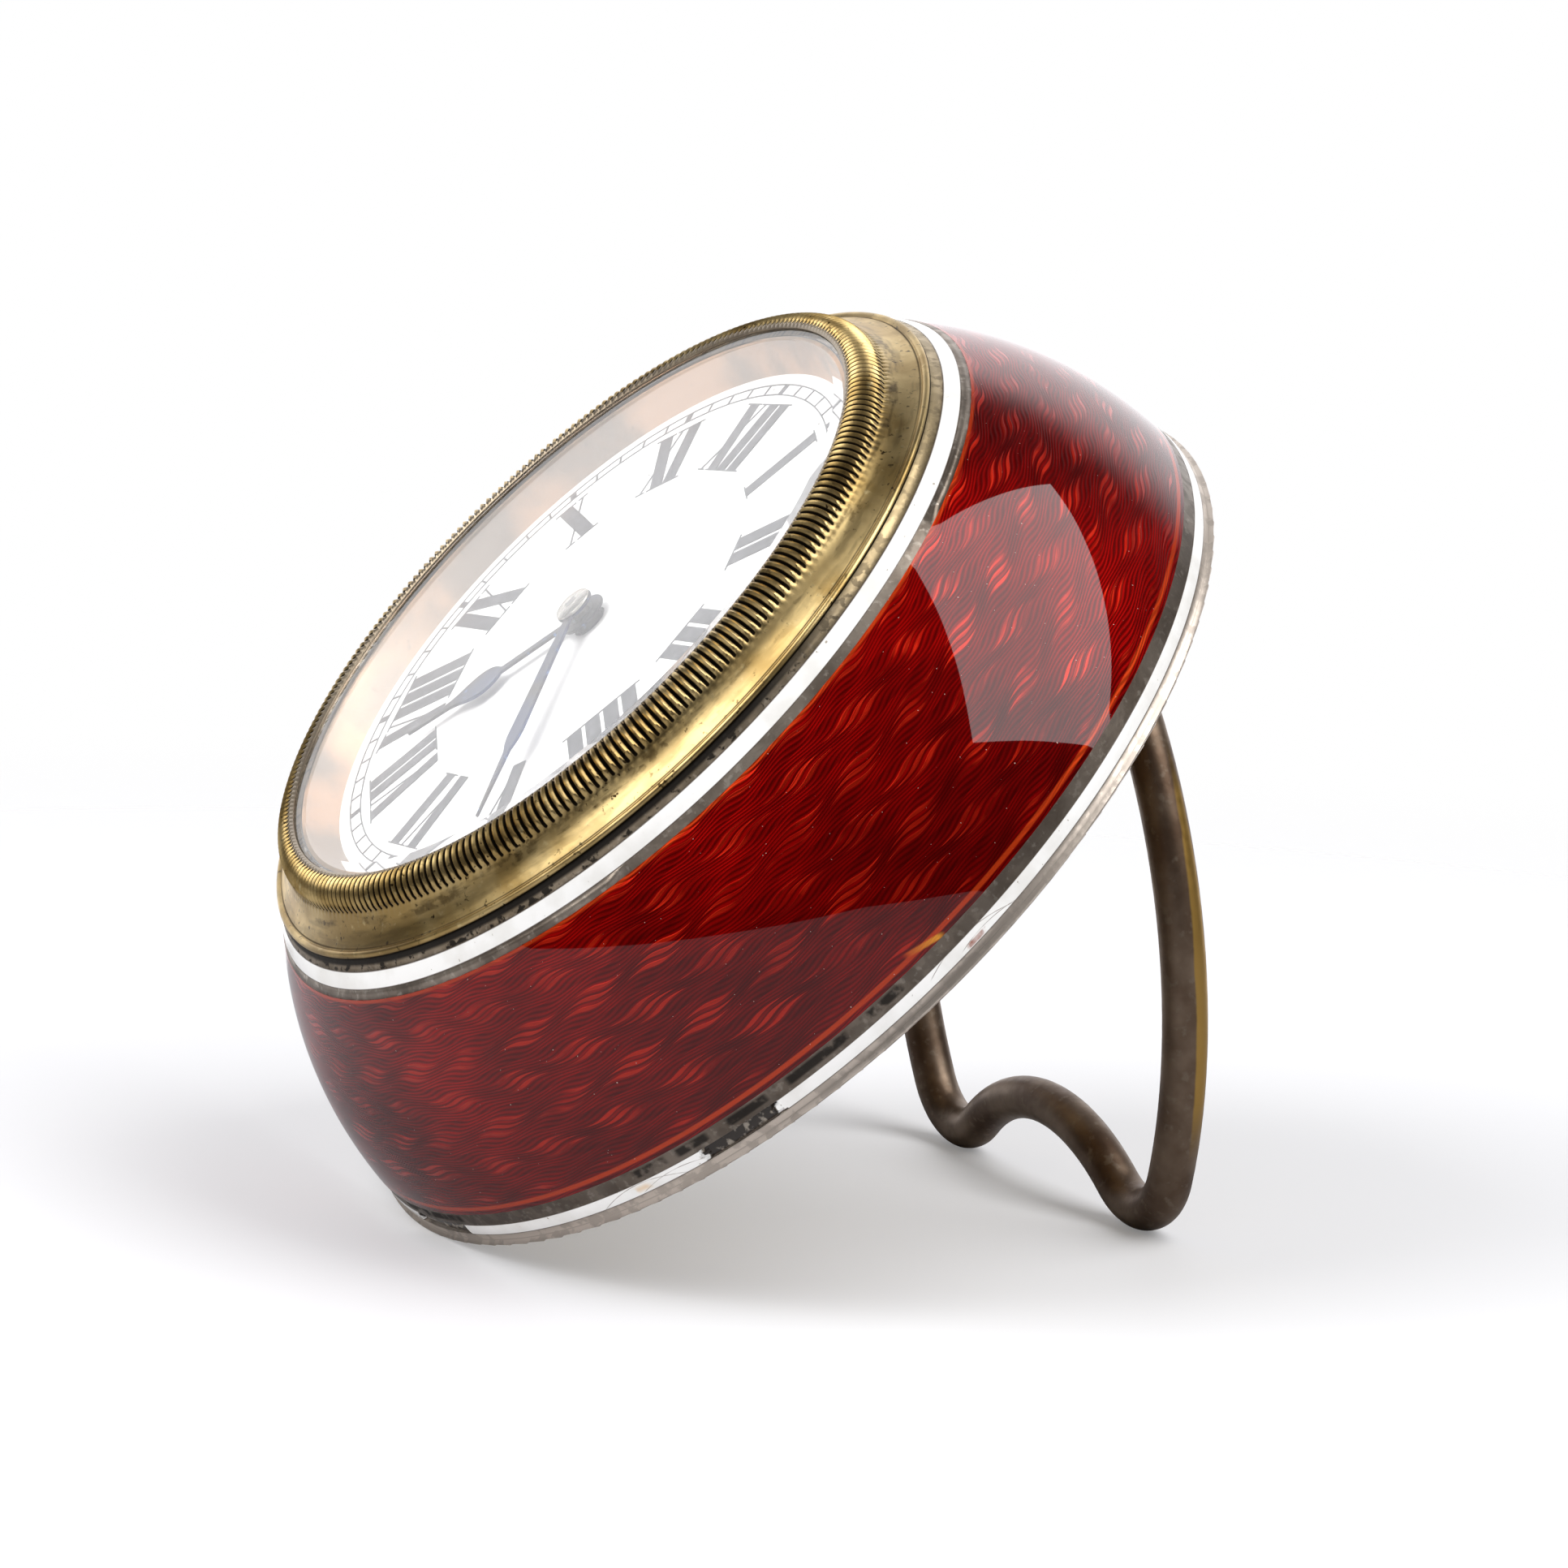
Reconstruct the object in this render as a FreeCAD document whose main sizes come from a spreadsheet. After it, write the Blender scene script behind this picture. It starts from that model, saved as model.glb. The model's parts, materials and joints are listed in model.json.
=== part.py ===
"""A round strut clock in an enamelled case, standing on its rim and a folding wire strut.

Lengths are in millimetres and angles in degrees. Every piece is drawn in the clock's own
frame first: X runs to III, Y to XII, and Z along the axis from the back rim (zero) to the
glass. The whole clock is then leaned back onto its strut, with the table at zero.
"""
import FreeCAD, Part
import Sketcher
import math
import os
from types import SimpleNamespace

from FreeCAD import Placement, Rotation, Vector

ACROSS = Vector(1, 0, 0)
UPWARD = Vector(0, 1, 0)
FORWARD = Vector(0, 0, 1)
NOWHERE = Vector(0, 0, 0)

STAND = (
    ("tilt_angle", 42.5, "dial axis above the table"),
    ("strut_opening", 48.5, "strut swung out from the back"),
    ("dial_turn", 3.9, "dial sits turned a little in its case, anticlockwise"),
)
CASE = (
    ("rim_radius", 40.0, "outer edge of the back rim"),
    ("rim_corner", 0.3, "rounding of the rim"),
    ("rim_lip_height", 0.45, "height of the rim bead"),
    ("band_radius", 39.7, "case wall just above the rim bead"),
    ("rim_stripe_low", 1.0, "lower edge of the rim's white stripe"),
    ("rim_stripe_top", 2.0, "upper edge of the rim's white stripe"),
    ("dome_foot_radius", 39.54, "where the red dome starts"),
    ("dome_foot_height", 3.1, "where the red dome starts"),
    ("dome_top_radius", 32.79, "where the red dome ends"),
    ("dome_top_height", 18.46, "where the red dome ends"),
    ("dome_arc", 29.2, "radius of the dome's section"),
    ("stripe_outer_radius", 32.33, "outer edge of the front white stripe"),
    ("stripe_inner_radius", 31.51, "inner edge of the front white stripe"),
    ("shoulder_radius", 30.95, "top edge of the case"),
    ("shoulder_height", 20.7, "top edge of the case"),
    ("enamel_depth", 0.45, "thickness of the enamel"),
    ("case_wall", 1.15, "silver wall behind the enamel"),
    ("neck_radius", 29.4, "mouth that takes the bezel's skirt"),
    ("lip_height", 18.7, "front face of the inner lip"),
    ("lip_thickness", 1.2, "inner lip"),
    ("lip_radius", 27.6, "opening in the inner lip"),
    ("recess_radius", 36.6, "hollow at the back"),
    ("recess_depth", 5.75, "back plate below the rim"),
    ("ledge_radius", 34.0, "opening inside the back ledge"),
    ("ledge_thickness", 1.65, "ledge that takes the back screws"),
)
FRONT = (
    ("bezel_edge_radius", 31.03, "outer edge of the bezel's flange"),
    ("bezel_edge_thickness", 0.4, "flange at its edge"),
    ("bezel_bead_width", 0.5, "bead on the flange"),
    ("bezel_bead_arc", 0.3, "rounding of the bead"),
    ("cove_arc", 4.2, "hollow of the flange"),
    ("cove_top_radius", 28.51, "top of the hollow"),
    ("cove_top_height", 22.86, "top of the hollow"),
    ("shoulder_arc", 1.6, "rounding of the milled shoulder"),
    ("bezel_lip_radius", 26.25, "inner edge of the bezel"),
    ("bezel_crown_radius", 26.76, "inner edge of the milled shoulder"),
    ("bezel_crown_height", 24.55, "inner edge of the milled shoulder"),
    ("bezel_lip_drop", 0.2, "inner edge below the shoulder's top"),
    ("skirt_radius", 29.3, "bezel skirt outside"),
    ("skirt_wall", 1.0, "bezel skirt"),
    ("skirt_length", 1.9, "bezel skirt below the flange"),
    ("bezel_throat", 25.9, "hole behind the glass seat"),
    ("bezel_web", 1.4, "bezel metal behind the glass"),
    ("glass_radius", 26.6, "glass edge"),
    ("glass_thickness", 1.7, "glass at its middle"),
    ("glass_edge", 0.9, "glass at its rim"),
    ("glass_bevel", 1.1, "width of the bevel"),
    ("hand_room", 2.4, "from the dial to the glass"),
    ("dial_face_height", 20.2, "front of the dial"),
    ("dial_thickness", 0.9, "enamelled dial"),
    ("dial_radius", 27.0, "dial edge"),
    ("dial_hole", 1.4, "hole for the hands"),
    ("dial_foot_radius", 0.5, "posts that hold the dial"),
    ("dial_foot_place", 22.0, "posts from the centre"),
    ("dial_foot_length", 2.6, "posts behind the dial"),
    ("sight_inner_radius", 24.4, "visible edge of the dial"),
    ("sight_mouth_radius", 25.5, "sight ring under the glass"),
    ("sight_outer_radius", 25.8, "sight ring outside"),
    ("spacer_inner_radius", 25.0, "ring under the dial"),
    ("paint", 0.05, "thickness of the black enamel figures"),
    ("numeral_inner_radius", 14.75, "feet of the numerals"),
    ("numeral_outer_radius", 21.35, "heads of the numerals"),
    ("numeral_thick", 1.3, "heavy stroke"),
    ("numeral_thin", 0.15, "fine stroke"),
    ("numeral_serif", 0.1, "thickness of a serif"),
    ("numeral_serif_reach", 0.4, "serif beyond its stroke"),
    ("stroke_pitch", 1.65, "from one upright to the next"),
    ("slant_width", 1.75, "lean of V and X from foot to head"),
    ("slant_space", 1.05, "room beside a V or X"),
    ("track_inner_radius", 22.25, "minute track"),
    ("track_outer_radius", 23.35, "minute track"),
    ("track_line", 0.09, "circles of the track"),
    ("track_tick", 0.16, "minute lines of the track"),
    ("track_block", 0.6, "hour blocks of the track"),
)
HANDS = (
    ("hour_reading", 7.41, "time shown, in hours"),
    ("hand_thickness", 0.22, "blued steel"),
    ("hour_hand_length", 17.2, "from the centre"),
    ("hour_hand_hub", 1.9, "round end"),
    ("hour_hand_stem", 0.36, "half width of the stem"),
    ("hour_hand_swell", 1.45, "half width at its widest"),
    ("hour_hand_height", 20.85, "underside"),
    ("minute_hand_length", 22.0, "from the centre"),
    ("minute_hand_hub", 1.55, "round end"),
    ("minute_hand_stem", 0.4, "half width at the hub"),
    ("minute_hand_swell", 0.76, "half width at the shoulder"),
    ("minute_hand_height", 21.75, "underside"),
    ("hand_tip", 0.09, "half width of a tip"),
    ("cap_radius", 1.5, "polished cap"),
    ("cap_height", 0.35, "polished cap"),
    ("arbor_radius", 0.45, "centre arbor"),
    ("cannon_radius", 0.7, "cannon pinion's pipe"),
    ("cannon_teeth", 12, "leaves"),
    ("minute_wheel_teeth", 36, "teeth"),
    ("minute_pinion_teeth", 10, "leaves"),
    ("hour_wheel_teeth", 40, "teeth"),
    ("cannon_module", 0.25, "pitch diameter per tooth"),
    ("hour_pipe_wall", 0.35, "hour wheel's pipe"),
    ("motion_pinion_height", 0.75, "leaves in the motion work"),
    ("motion_wheel_thickness", 0.4, "wheels in the motion work"),
    ("motion_stud", 0.4, "stud of the minute wheel"),
    ("minute_wheel_bearing", 0, "direction of the minute wheel"),
    ("running_clearance", 0.05, "radial play of a pivot"),
    ("layer_gap", 0.15, "play between things that pass each other"),
)
MOVEMENT = (
    ("main_plate_radius", 30.6, "plate under the dial"),
    ("main_plate_thickness", 1.6, "plate under the dial"),
    ("train_plate_radius", 27.0, "rear plate of the movement"),
    ("train_plate_thickness", 1.2, "rear plate of the movement"),
    ("pillar_radius", 1.5, "pillars"),
    ("pillar_place", 25.4, "pillars from the centre"),
    ("pillar_count", 4, "pillars"),
    ("pillar_start", 75, "direction of the first pillar"),
    ("pillar_screw_radius", 0.6, "screw in a pillar"),
    ("pillar_screw_length", 2.4, "screw in a pillar"),
    ("screw_head_radius", 1.15, "small screws"),
    ("screw_head_height", 0.5, "small screws"),
    ("slot_width", 0.3, "screwdriver slot"),
    ("movement_screw_place", 29.1, "screws from the centre"),
    ("movement_screw_radius", 0.5, "screws into the lip"),
    ("movement_screw_bite", 0.9, "screws into the lip"),
    ("movement_screw_count", 3, "screws into the lip"),
    ("pivot_radius", 0.3, "small arbors"),
    ("pivot_bite", 0.6, "small arbors in a plate"),
    ("wheel_thickness", 0.35, "train wheels"),
    ("leaf_height", 1.0, "pinions of the train"),
    ("barrel_teeth", 80, "teeth"),
    ("intermediate_pinion_teeth", 10, "leaves"),
    ("barrel_module", 0.28, "pitch diameter per tooth"),
    ("intermediate_teeth", 60, "teeth"),
    ("centre_pinion_teeth", 10, "leaves"),
    ("intermediate_module", 0.24, "pitch diameter per tooth"),
    ("centre_teeth", 72, "teeth"),
    ("third_pinion_teeth", 9, "leaves"),
    ("centre_module", 0.2, "pitch diameter per tooth"),
    ("third_teeth", 75, "teeth"),
    ("fourth_pinion_teeth", 10, "leaves"),
    ("third_module", 0.16, "pitch diameter per tooth"),
    ("fourth_teeth", 80, "teeth"),
    ("escape_pinion_teeth", 8, "leaves"),
    ("fourth_module", 0.14, "pitch diameter per tooth"),
    ("intermediate_bearing", 65.7, "direction from the centre"),
    ("barrel_bearing", 152.8, "direction from the intermediate wheel"),
    ("third_bearing", -90, "direction from the centre"),
    ("fourth_bearing", -120, "direction from the third wheel"),
    ("escape_bearing", 160, "direction from the fourth wheel"),
    ("pallet_bearing", 140, "direction from the escape wheel"),
    ("balance_bearing", 140, "direction from the pallets"),
    ("pallet_distance", 3.9, "from the escape wheel"),
    ("balance_distance", 5.4, "from the pallets"),
    ("barrel_radius", 10.9, "barrel drum outside"),
    ("barrel_wall", 0.5, "barrel drum"),
    ("barrel_floor", 0.8, "toothed floor of the barrel"),
    ("barrel_depth", 3.2, "inside the barrel and its cover"),
    ("barrel_lift", 0.4, "barrel above the train plate"),
    ("cover_thickness", 0.5, "barrel cover"),
    ("barrel_arbor_radius", 0.9, "winding arbor"),
    ("core_radius", 1.8, "hub that holds the spring"),
    ("spring_strip", 0.16, "mainspring thickness"),
    ("spring_turns", 9, "mainspring turns shown"),
    ("train_wheel_one", 14.0, "height of the intermediate wheel"),
    ("train_wheel_two", 14.9, "height of the centre wheel"),
    ("train_wheel_three", 11.0, "height of the third wheel"),
    ("train_wheel_four", 12.4, "height of the fourth wheel"),
    ("escape_height", 10.0, "height of the escape wheel"),
    ("escape_radius", 2.8, "escape wheel"),
    ("escape_teeth", 15, "teeth"),
    ("pallet_reach", 2.2, "pallets either side of the lever's pivot"),
    ("pallet_drop", 1.6, "pallets towards the escape wheel"),
    ("pallet_width", 0.5, "lever arms"),
    ("lever_length", 4.2, "lever towards the balance"),
    ("balance_height", 11.7, "height of the balance wheel"),
    ("balance_radius", 4.6, "balance wheel"),
    ("balance_rim", 0.5, "balance rim"),
    ("roller_radius", 0.6, "roller on the balance staff"),
    ("hairspring_height", 13.4, "height of the hairspring"),
    ("hairspring_outer", 3.2, "outer turn"),
    ("hairspring_inner", 0.7, "inner turn and collet"),
    ("hairspring_strip", 0.1, "hairspring thickness"),
    ("hairspring_width", 0.3, "hairspring height"),
    ("hairspring_turns", 6, "turns shown"),
    ("stud_radius", 0.35, "post of the hairspring"),
    ("ratchet_radius", 3.6, "ratchet wheel"),
    ("ratchet_teeth", 30, "teeth"),
    ("ratchet_tooth", 0.45, "depth of a tooth"),
    ("ratchet_thickness", 0.45, "ratchet wheel and click"),
    ("click_distance", 6.0, "click pivot from the winding arbor"),
    ("click_bearing", 20, "direction of the click pivot"),
    ("click_hub", 1.1, "round end of the click"),
    ("click_cap", 0.2, "head of the click's screw"),
    ("regulator_post", 1.15, "boss under the regulator"),
    ("regulator_rim", 0.8, "ring of the regulator"),
    ("regulator_length", 5.6, "from the balance axis"),
    ("regulator_width", 0.7, "regulator arm"),
    ("regulator_slot", 3.6, "length of the slot in the back"),
)
BACK = (
    ("back_thickness", 1.0, "back plate"),
    ("back_clearance", 0.1, "back plate in its recess"),
    ("back_gap", 1.0, "from the back plate to the movement"),
    ("back_screw_place", 35.2, "screws from the centre"),
    ("back_screw_radius", 0.7, "screws in the ledge"),
    ("back_screw_bite", 1.3, "screws in the ledge"),
    ("back_screw_count", 4, "screws"),
    ("back_screw_start", 45, "direction of the first screw"),
    ("arbor_hole", 1.3, "hole for the winding arbor"),
    ("key_hub_radius", 1.9, "end of the winding arbor"),
    ("key_hub_height", 2.3, "end of the winding arbor"),
    ("key_seat", 0.5, "arbor let into its end piece"),
    ("key_pin_radius", 0.5, "hinge pin of the bow"),
    ("key_bow_section", 1.0, "thickness of the bow"),
    ("key_bow_width", 1.1, "width of the bow's ring"),
    ("key_bow_length", 8.0, "bow beyond its pin"),
    ("knob_radius", 2.9, "hand setting knob"),
    ("knob_height", 2.0, "hand setting knob"),
    ("knob_notches", 24, "grip"),
    ("knob_notch", 0.25, "depth of the grip"),
    ("strut_hinge_height", 30.0, "hinge above the centre"),
    ("strut_wire", 1.65, "wire radius"),
    ("strut_spread", 22.5, "half width of the strut at its widest"),
    ("strut_widest", 18.5, "widest place above the feet"),
    ("strut_leg_arc", 37.1, "curve of a leg"),
    ("strut_neck_arc", 9.0, "curve of a leg below its eye"),
    ("strut_foot_place", 14.4, "feet from the middle"),
    ("strut_foot_arc", 5.2, "curve of a foot"),
    ("strut_hump", 5.0, "middle of the strut above its feet"),
    ("eye_radius", 2.2, "flattened end of a leg"),
    ("eye_thickness", 3.5, "flattened end of a leg"),
    ("heel_length", 2.9, "stop at the end of a leg"),
    ("heel_play", 0.05, "stop against the bracket"),
    ("hinge_pin_radius", 0.8, "hinge pin"),
    ("hinge_pin_head", 1.35, "riveted end of the pin"),
    ("hinge_pin_head_length", 0.4, "riveted end of the pin"),
    ("hinge_barrel_radius", 1.8, "fixed barrel of the hinge"),
    ("hinge_axis_lift", 2.35, "hinge axis from the bracket plate"),
    ("bracket_thickness", 0.8, "bracket plate"),
    ("bracket_drop", 7.0, "bracket below the hinge"),
    ("bracket_rise", 3.4, "bracket above the hinge"),
    ("bracket_screw_place", 4.6, "bracket screws from the middle"),
    ("bracket_screw_drop", 5.1, "bracket screws below the hinge"),
    ("bracket_screw_radius", 0.5, "bracket screws"),
)
SHARES = (
    ("tip_share", 0.9, "tooth tip beyond the pitch circle, in modules"),
    ("root_share", 1.3, "tooth root inside the pitch circle, in modules"),
    ("tooth_share", 0.40, "tooth thickness as a share of the pitch"),
)


class Size:
    """A number and the formula that gives it in the sheet."""

    def __init__(self, value, text):
        self.value = float(value)
        self.text = text

    def __add__(self, other):
        other = as_size(other)
        return Size(self.value + other.value, f"({self.text} + {other.text})")

    def __sub__(self, other):
        other = as_size(other)
        return Size(self.value - other.value, f"({self.text} - {other.text})")

    def __mul__(self, other):
        other = as_size(other)
        return Size(self.value * other.value, f"({self.text} * {other.text})")

    def __truediv__(self, other):
        other = as_size(other)
        return Size(self.value / other.value, f"({self.text} / {other.text})")

    def __neg__(self):
        return Size(-self.value, f"(-1 * {self.text})")

    __radd__ = __add__
    __rmul__ = __mul__

    def __rsub__(self, other):
        return as_size(other) - self


def as_size(thing):
    """A plain number as a size."""
    return thing if isinstance(thing, Size) else Size(thing, repr(thing))


def sine(angle):
    return Size(math.sin(math.radians(angle.value)), f"sin({angle.text})")


def cosine(angle):
    return Size(math.cos(math.radians(angle.value)), f"cos({angle.text})")


def root(size):
    return Size(math.sqrt(size.value), f"sqrt({size.text})")


def squared(size):
    return size * size


doc = FreeCAD.newDocument("strut_clock")
sheet = doc.addObject("Spreadsheet::Sheet", "Sizes")
dim = SimpleNamespace()
sheet_rows = []
pieces = []


def put_row(name, content, value, note):
    """One named cell of the sheet."""
    row = len(sheet_rows) + 1
    sheet.set(f"A{row}", name)
    sheet.set(f"B{row}", content)
    sheet.set(f"C{row}", note)
    sheet.setAlias(f"B{row}", name)
    sheet_rows.append(name)
    size = Size(value, f"Sizes.{name}")
    setattr(dim, name, size)
    return size


def derive(name, size, note):
    """A cell worked out from others."""
    return put_row(name, "=" + size.text.replace("Sizes.", ""), size.value, note)


for table in (STAND, CASE, FRONT, HANDS, MOVEMENT, BACK, SHARES):
    for cell_name, cell_value, cell_note in table:
        put_row(cell_name, str(cell_value), cell_value, cell_note)


def arc_centre(start, end, radius):
    """Centre of an arc whose bulge lies to the right of the way from start to end."""
    along_x = end[0] - start[0]
    along_y = end[1] - start[1]
    chord = root(squared(along_x) + squared(along_y))
    reach = root(squared(radius) - squared(chord) / 4)
    centre_x = (start[0] + end[0]) / 2 - along_y * reach / chord
    centre_y = (start[1] + end[1]) / 2 + along_x * reach / chord
    return centre_x, centre_y


def circle_height(centre, radius, at_radius):
    """Height of a circle's upper side at a distance from the axis."""
    return centre[1] + root(squared(radius) - squared(at_radius - centre[0]))


def circle_radius(centre, radius, at_height):
    """Distance of a circle's outer side from the axis at a height."""
    return centre[0] + root(squared(radius) - squared(at_height - centre[1]))


def derive_case():
    """The dome's centre, the shoulder's slope and the heights of the stack."""
    foot = (dim.dome_foot_radius, dim.dome_foot_height)
    top = (dim.dome_top_radius, dim.dome_top_height)
    centre_r, centre_h = arc_centre(foot, top, dim.dome_arc)
    derive("dome_centre_radius", centre_r, "centre of the dome's section")
    derive("dome_centre_height", centre_h, "centre of the dome's section")
    run = dim.dome_top_radius - dim.shoulder_radius
    rise = dim.shoulder_height - dim.dome_top_height
    derive("shoulder_slope", rise / run, "rise of the shoulder per unit inwards")
    derive("shoulder_side", root(1 + squared(dim.shoulder_slope)), "slant length per unit inwards")
    derive("back_inner", dim.recess_depth + dim.back_thickness, "inner face of the back plate")
    derive("train_plate_low", dim.back_inner + dim.back_gap, "rear face of the train plate")
    derive("train_plate_top", dim.train_plate_low + dim.train_plate_thickness, "front face")
    derive("main_plate_top", dim.lip_height - dim.lip_thickness, "front face of the main plate")
    derive("main_plate_low", dim.main_plate_top - dim.main_plate_thickness, "rear face")
    derive("plate_distance", dim.main_plate_low - dim.train_plate_top, "between the plates")
    derive("dial_low", dim.dial_face_height - dim.dial_thickness, "back of the dial")
    derive("glass_low", dim.dial_face_height + dim.hand_room, "inner face of the glass")
    derive("glass_top", dim.glass_low + dim.glass_thickness, "outer face of the glass")


def derive_stand():
    """Where the leaned clock touches the table, and how long its strut is."""
    sin_tilt = derive("sin_tilt", sine(dim.tilt_angle), "tilt")
    cos_tilt = derive("cos_tilt", cosine(dim.tilt_angle), "tilt")
    corner = dim.rim_radius - dim.rim_corner
    lift = corner * cos_tilt + dim.rim_corner - dim.rim_corner * sin_tilt
    derive("stand_lift", lift, "centre of the back rim above the table")
    crown = (dim.bezel_crown_radius, dim.bezel_crown_height)
    cove = (dim.cove_top_radius, dim.cove_top_height)
    centre_r, centre_h = arc_centre(cove, crown, dim.shoulder_arc)
    front = centre_r * sin_tilt + centre_h * cos_tilt + dim.shoulder_arc
    rear = corner * sin_tilt - dim.rim_corner * cos_tilt + dim.rim_corner
    derive("stand_shift", (front - rear) / 2, "brings the middle of the clock over the origin")
    derive("lean_angle", 90 - dim.tilt_angle, "turn from lying on its back to standing")
    axis_height = dim.recess_depth - dim.bracket_thickness - dim.hinge_axis_lift
    derive("hinge_axis_height", axis_height, "hinge axis above the rim's plane")
    reach = dim.stand_lift + dim.strut_hinge_height * cos_tilt + axis_height * sin_tilt
    leg = (reach - dim.strut_wire) / cosine(dim.strut_opening - dim.tilt_angle)
    derive("strut_length", leg, "hinge axis to the feet")


def derive_train():
    """Places of the arbors, each from the one before it."""
    def next_arbor(name, start, distance, bearing):
        derive(name + "_x", start[0] + distance * cosine(bearing), "arbor across")
        derive(name + "_y", start[1] + distance * sine(bearing), "arbor upward")
        return getattr(dim, name + "_x"), getattr(dim, name + "_y")

    def apart(first_teeth, second_teeth, module):
        return (first_teeth + second_teeth) * module / 2

    centre = (as_size(0), as_size(0))
    step = apart(dim.intermediate_teeth, dim.centre_pinion_teeth, dim.intermediate_module)
    place = next_arbor("intermediate", centre, step, dim.intermediate_bearing)
    step = apart(dim.barrel_teeth, dim.intermediate_pinion_teeth, dim.barrel_module)
    next_arbor("barrel", place, step, dim.barrel_bearing)
    step = apart(dim.centre_teeth, dim.third_pinion_teeth, dim.centre_module)
    place = next_arbor("third", centre, step, dim.third_bearing)
    step = apart(dim.third_teeth, dim.fourth_pinion_teeth, dim.third_module)
    place = next_arbor("fourth", place, step, dim.fourth_bearing)
    step = apart(dim.fourth_teeth, dim.escape_pinion_teeth, dim.fourth_module)
    place = next_arbor("escape", place, step, dim.escape_bearing)
    place = next_arbor("pallet", place, dim.pallet_distance, dim.pallet_bearing)
    next_arbor("balance", place, dim.balance_distance, dim.balance_bearing)
    step = apart(dim.cannon_teeth, dim.minute_wheel_teeth, dim.cannon_module)
    next_arbor("minute_wheel", centre, step, dim.minute_wheel_bearing)
    spread = dim.cannon_teeth + dim.minute_wheel_teeth
    both = dim.minute_pinion_teeth + dim.hour_wheel_teeth
    derive("hour_module", dim.cannon_module * spread / both, "same distance as the cannon pinion's")
    floor_low = dim.train_plate_top + dim.barrel_lift + dim.barrel_depth
    derive("barrel_floor_low", floor_low, "rear face of the barrel's toothed floor")


def stand(piece):
    """Leans a finished piece back with the rest of the clock."""
    piece.Placement = Placement(NOWHERE, Rotation(ACROSS, dim.lean_angle.value))
    piece.setExpression("Placement.Rotation.Angle", dim.lean_angle.text)
    piece.setExpression("Placement.Base.y", dim.stand_shift.text)
    piece.setExpression("Placement.Base.z", dim.stand_lift.text)


def finish(piece, label):
    """Names a finished piece and stands it in place."""
    piece.Label = label
    stand(piece)
    pieces.append(piece)
    return piece


def origin_plane(body, role):
    return next(item for item in body.Origin.OriginFeatures if item.Role == role)


def arc_middle(start, end, radius, side):
    """A point halfway along an arc that bulges left (1) or right (-1) of its way."""
    way = end - start
    sagitta = radius - math.sqrt(max(radius**2 - (way.Length / 2) ** 2, 0))
    normal = Vector(-way.y, way.x, 0).normalize()
    return (start + end) / 2 + normal * (side * sagitta)


def edge_between(start, end, arc):
    if arc is None:
        return Part.LineSegment(start, end)
    middle = arc_middle(start, end, arc[0].value, arc[1])
    if arc[1] > 0:
        return Part.Arc(end, middle, start)
    return Part.Arc(start, middle, end)


def draw(body, name, role, loops, circles=(), height=None, closed=True):
    """A sketch of outlines. Each corner is (x, y) or (x, y, radius, side) for an arc up to it."""
    sketch = body.newObject("Sketcher::SketchObject", name)
    sketch.AttachmentSupport = [(origin_plane(body, role), "")]
    sketch.MapMode = "FlatFace"
    if height is not None:
        sketch.AttachmentOffset = Placement(Vector(0, 0, height.value), Rotation())
        sketch.setExpression("AttachmentOffset.Base.z", height.text)
    bound = []

    def bind(constraint, size):
        bound.append((sketch.addConstraint(constraint), size))

    for loop in loops:
        corners = [Vector(c[0].value, c[1].value, 0) for c in loop]
        arcs = [(c[2], c[3]) if len(c) > 2 else None for c in loop]
        count = len(loop)
        spans = range(count) if closed else range(count - 1)
        edges = [edge_between(corners[i], corners[(i + 1) % count], arcs[(i + 1) % count]) for i in spans]
        first = len(sketch.Geometry)
        sketch.addGeometry(edges)
        drawn = sketch.Geometry[first:]
        ends = []
        for i, edge in zip(spans, drawn):
            forward = edge.StartPoint.distanceToPoint(corners[i]) < edge.EndPoint.distanceToPoint(corners[i])
            ends.append((1, 2) if forward else (2, 1))
        joints = [
            Sketcher.Constraint("Coincident", first + i, ends[i][1], first + (i + 1) % count, ends[(i + 1) % count][0])
            for i in spans if (i + 1) % count in spans
        ]
        sketch.addConstraint(joints)
        for i, corner in enumerate(loop):
            last = not closed and i == count - 1
            geometry = first + (i - 1 if last else i)
            point = ends[i - 1][1] if last else ends[i][0]
            bind(Sketcher.Constraint("DistanceX", -1, 1, geometry, point, corners[i].x), corner[0])
            bind(Sketcher.Constraint("DistanceY", -1, 1, geometry, point, corners[i].y), corner[1])
        for i in spans:
            arc = arcs[(i + 1) % count]
            if arc is not None:
                bind(Sketcher.Constraint("Radius", first + i, arc[0].value), arc[0])
    for x, y, radius in circles:
        index = sketch.addGeometry(Part.Circle(Vector(x.value, y.value, 0), FORWARD, radius.value))
        bind(Sketcher.Constraint("DistanceX", -1, 1, index, 3, x.value), x)
        bind(Sketcher.Constraint("DistanceY", -1, 1, index, 3, y.value), y)
        bind(Sketcher.Constraint("Radius", index, radius.value), radius)
    for index, size in bound:
        sketch.setExpression(f"Constraints[{index}]", size.text)
    return sketch


def lathe(name, outline):
    """A turned piece: an outline of (distance from the axis, height) spun about the axis."""
    body = doc.addObject("PartDesign::Body", name)
    sketch = draw(body, name + "_section", "XZ_Plane", [outline])
    turned = body.newObject("PartDesign::Revolution", name + "_turned")
    turned.Profile = sketch
    turned.ReferenceAxis = (sketch, ["V_Axis"])
    turned.Angle = 360
    sketch.Visibility = False
    return body


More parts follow.
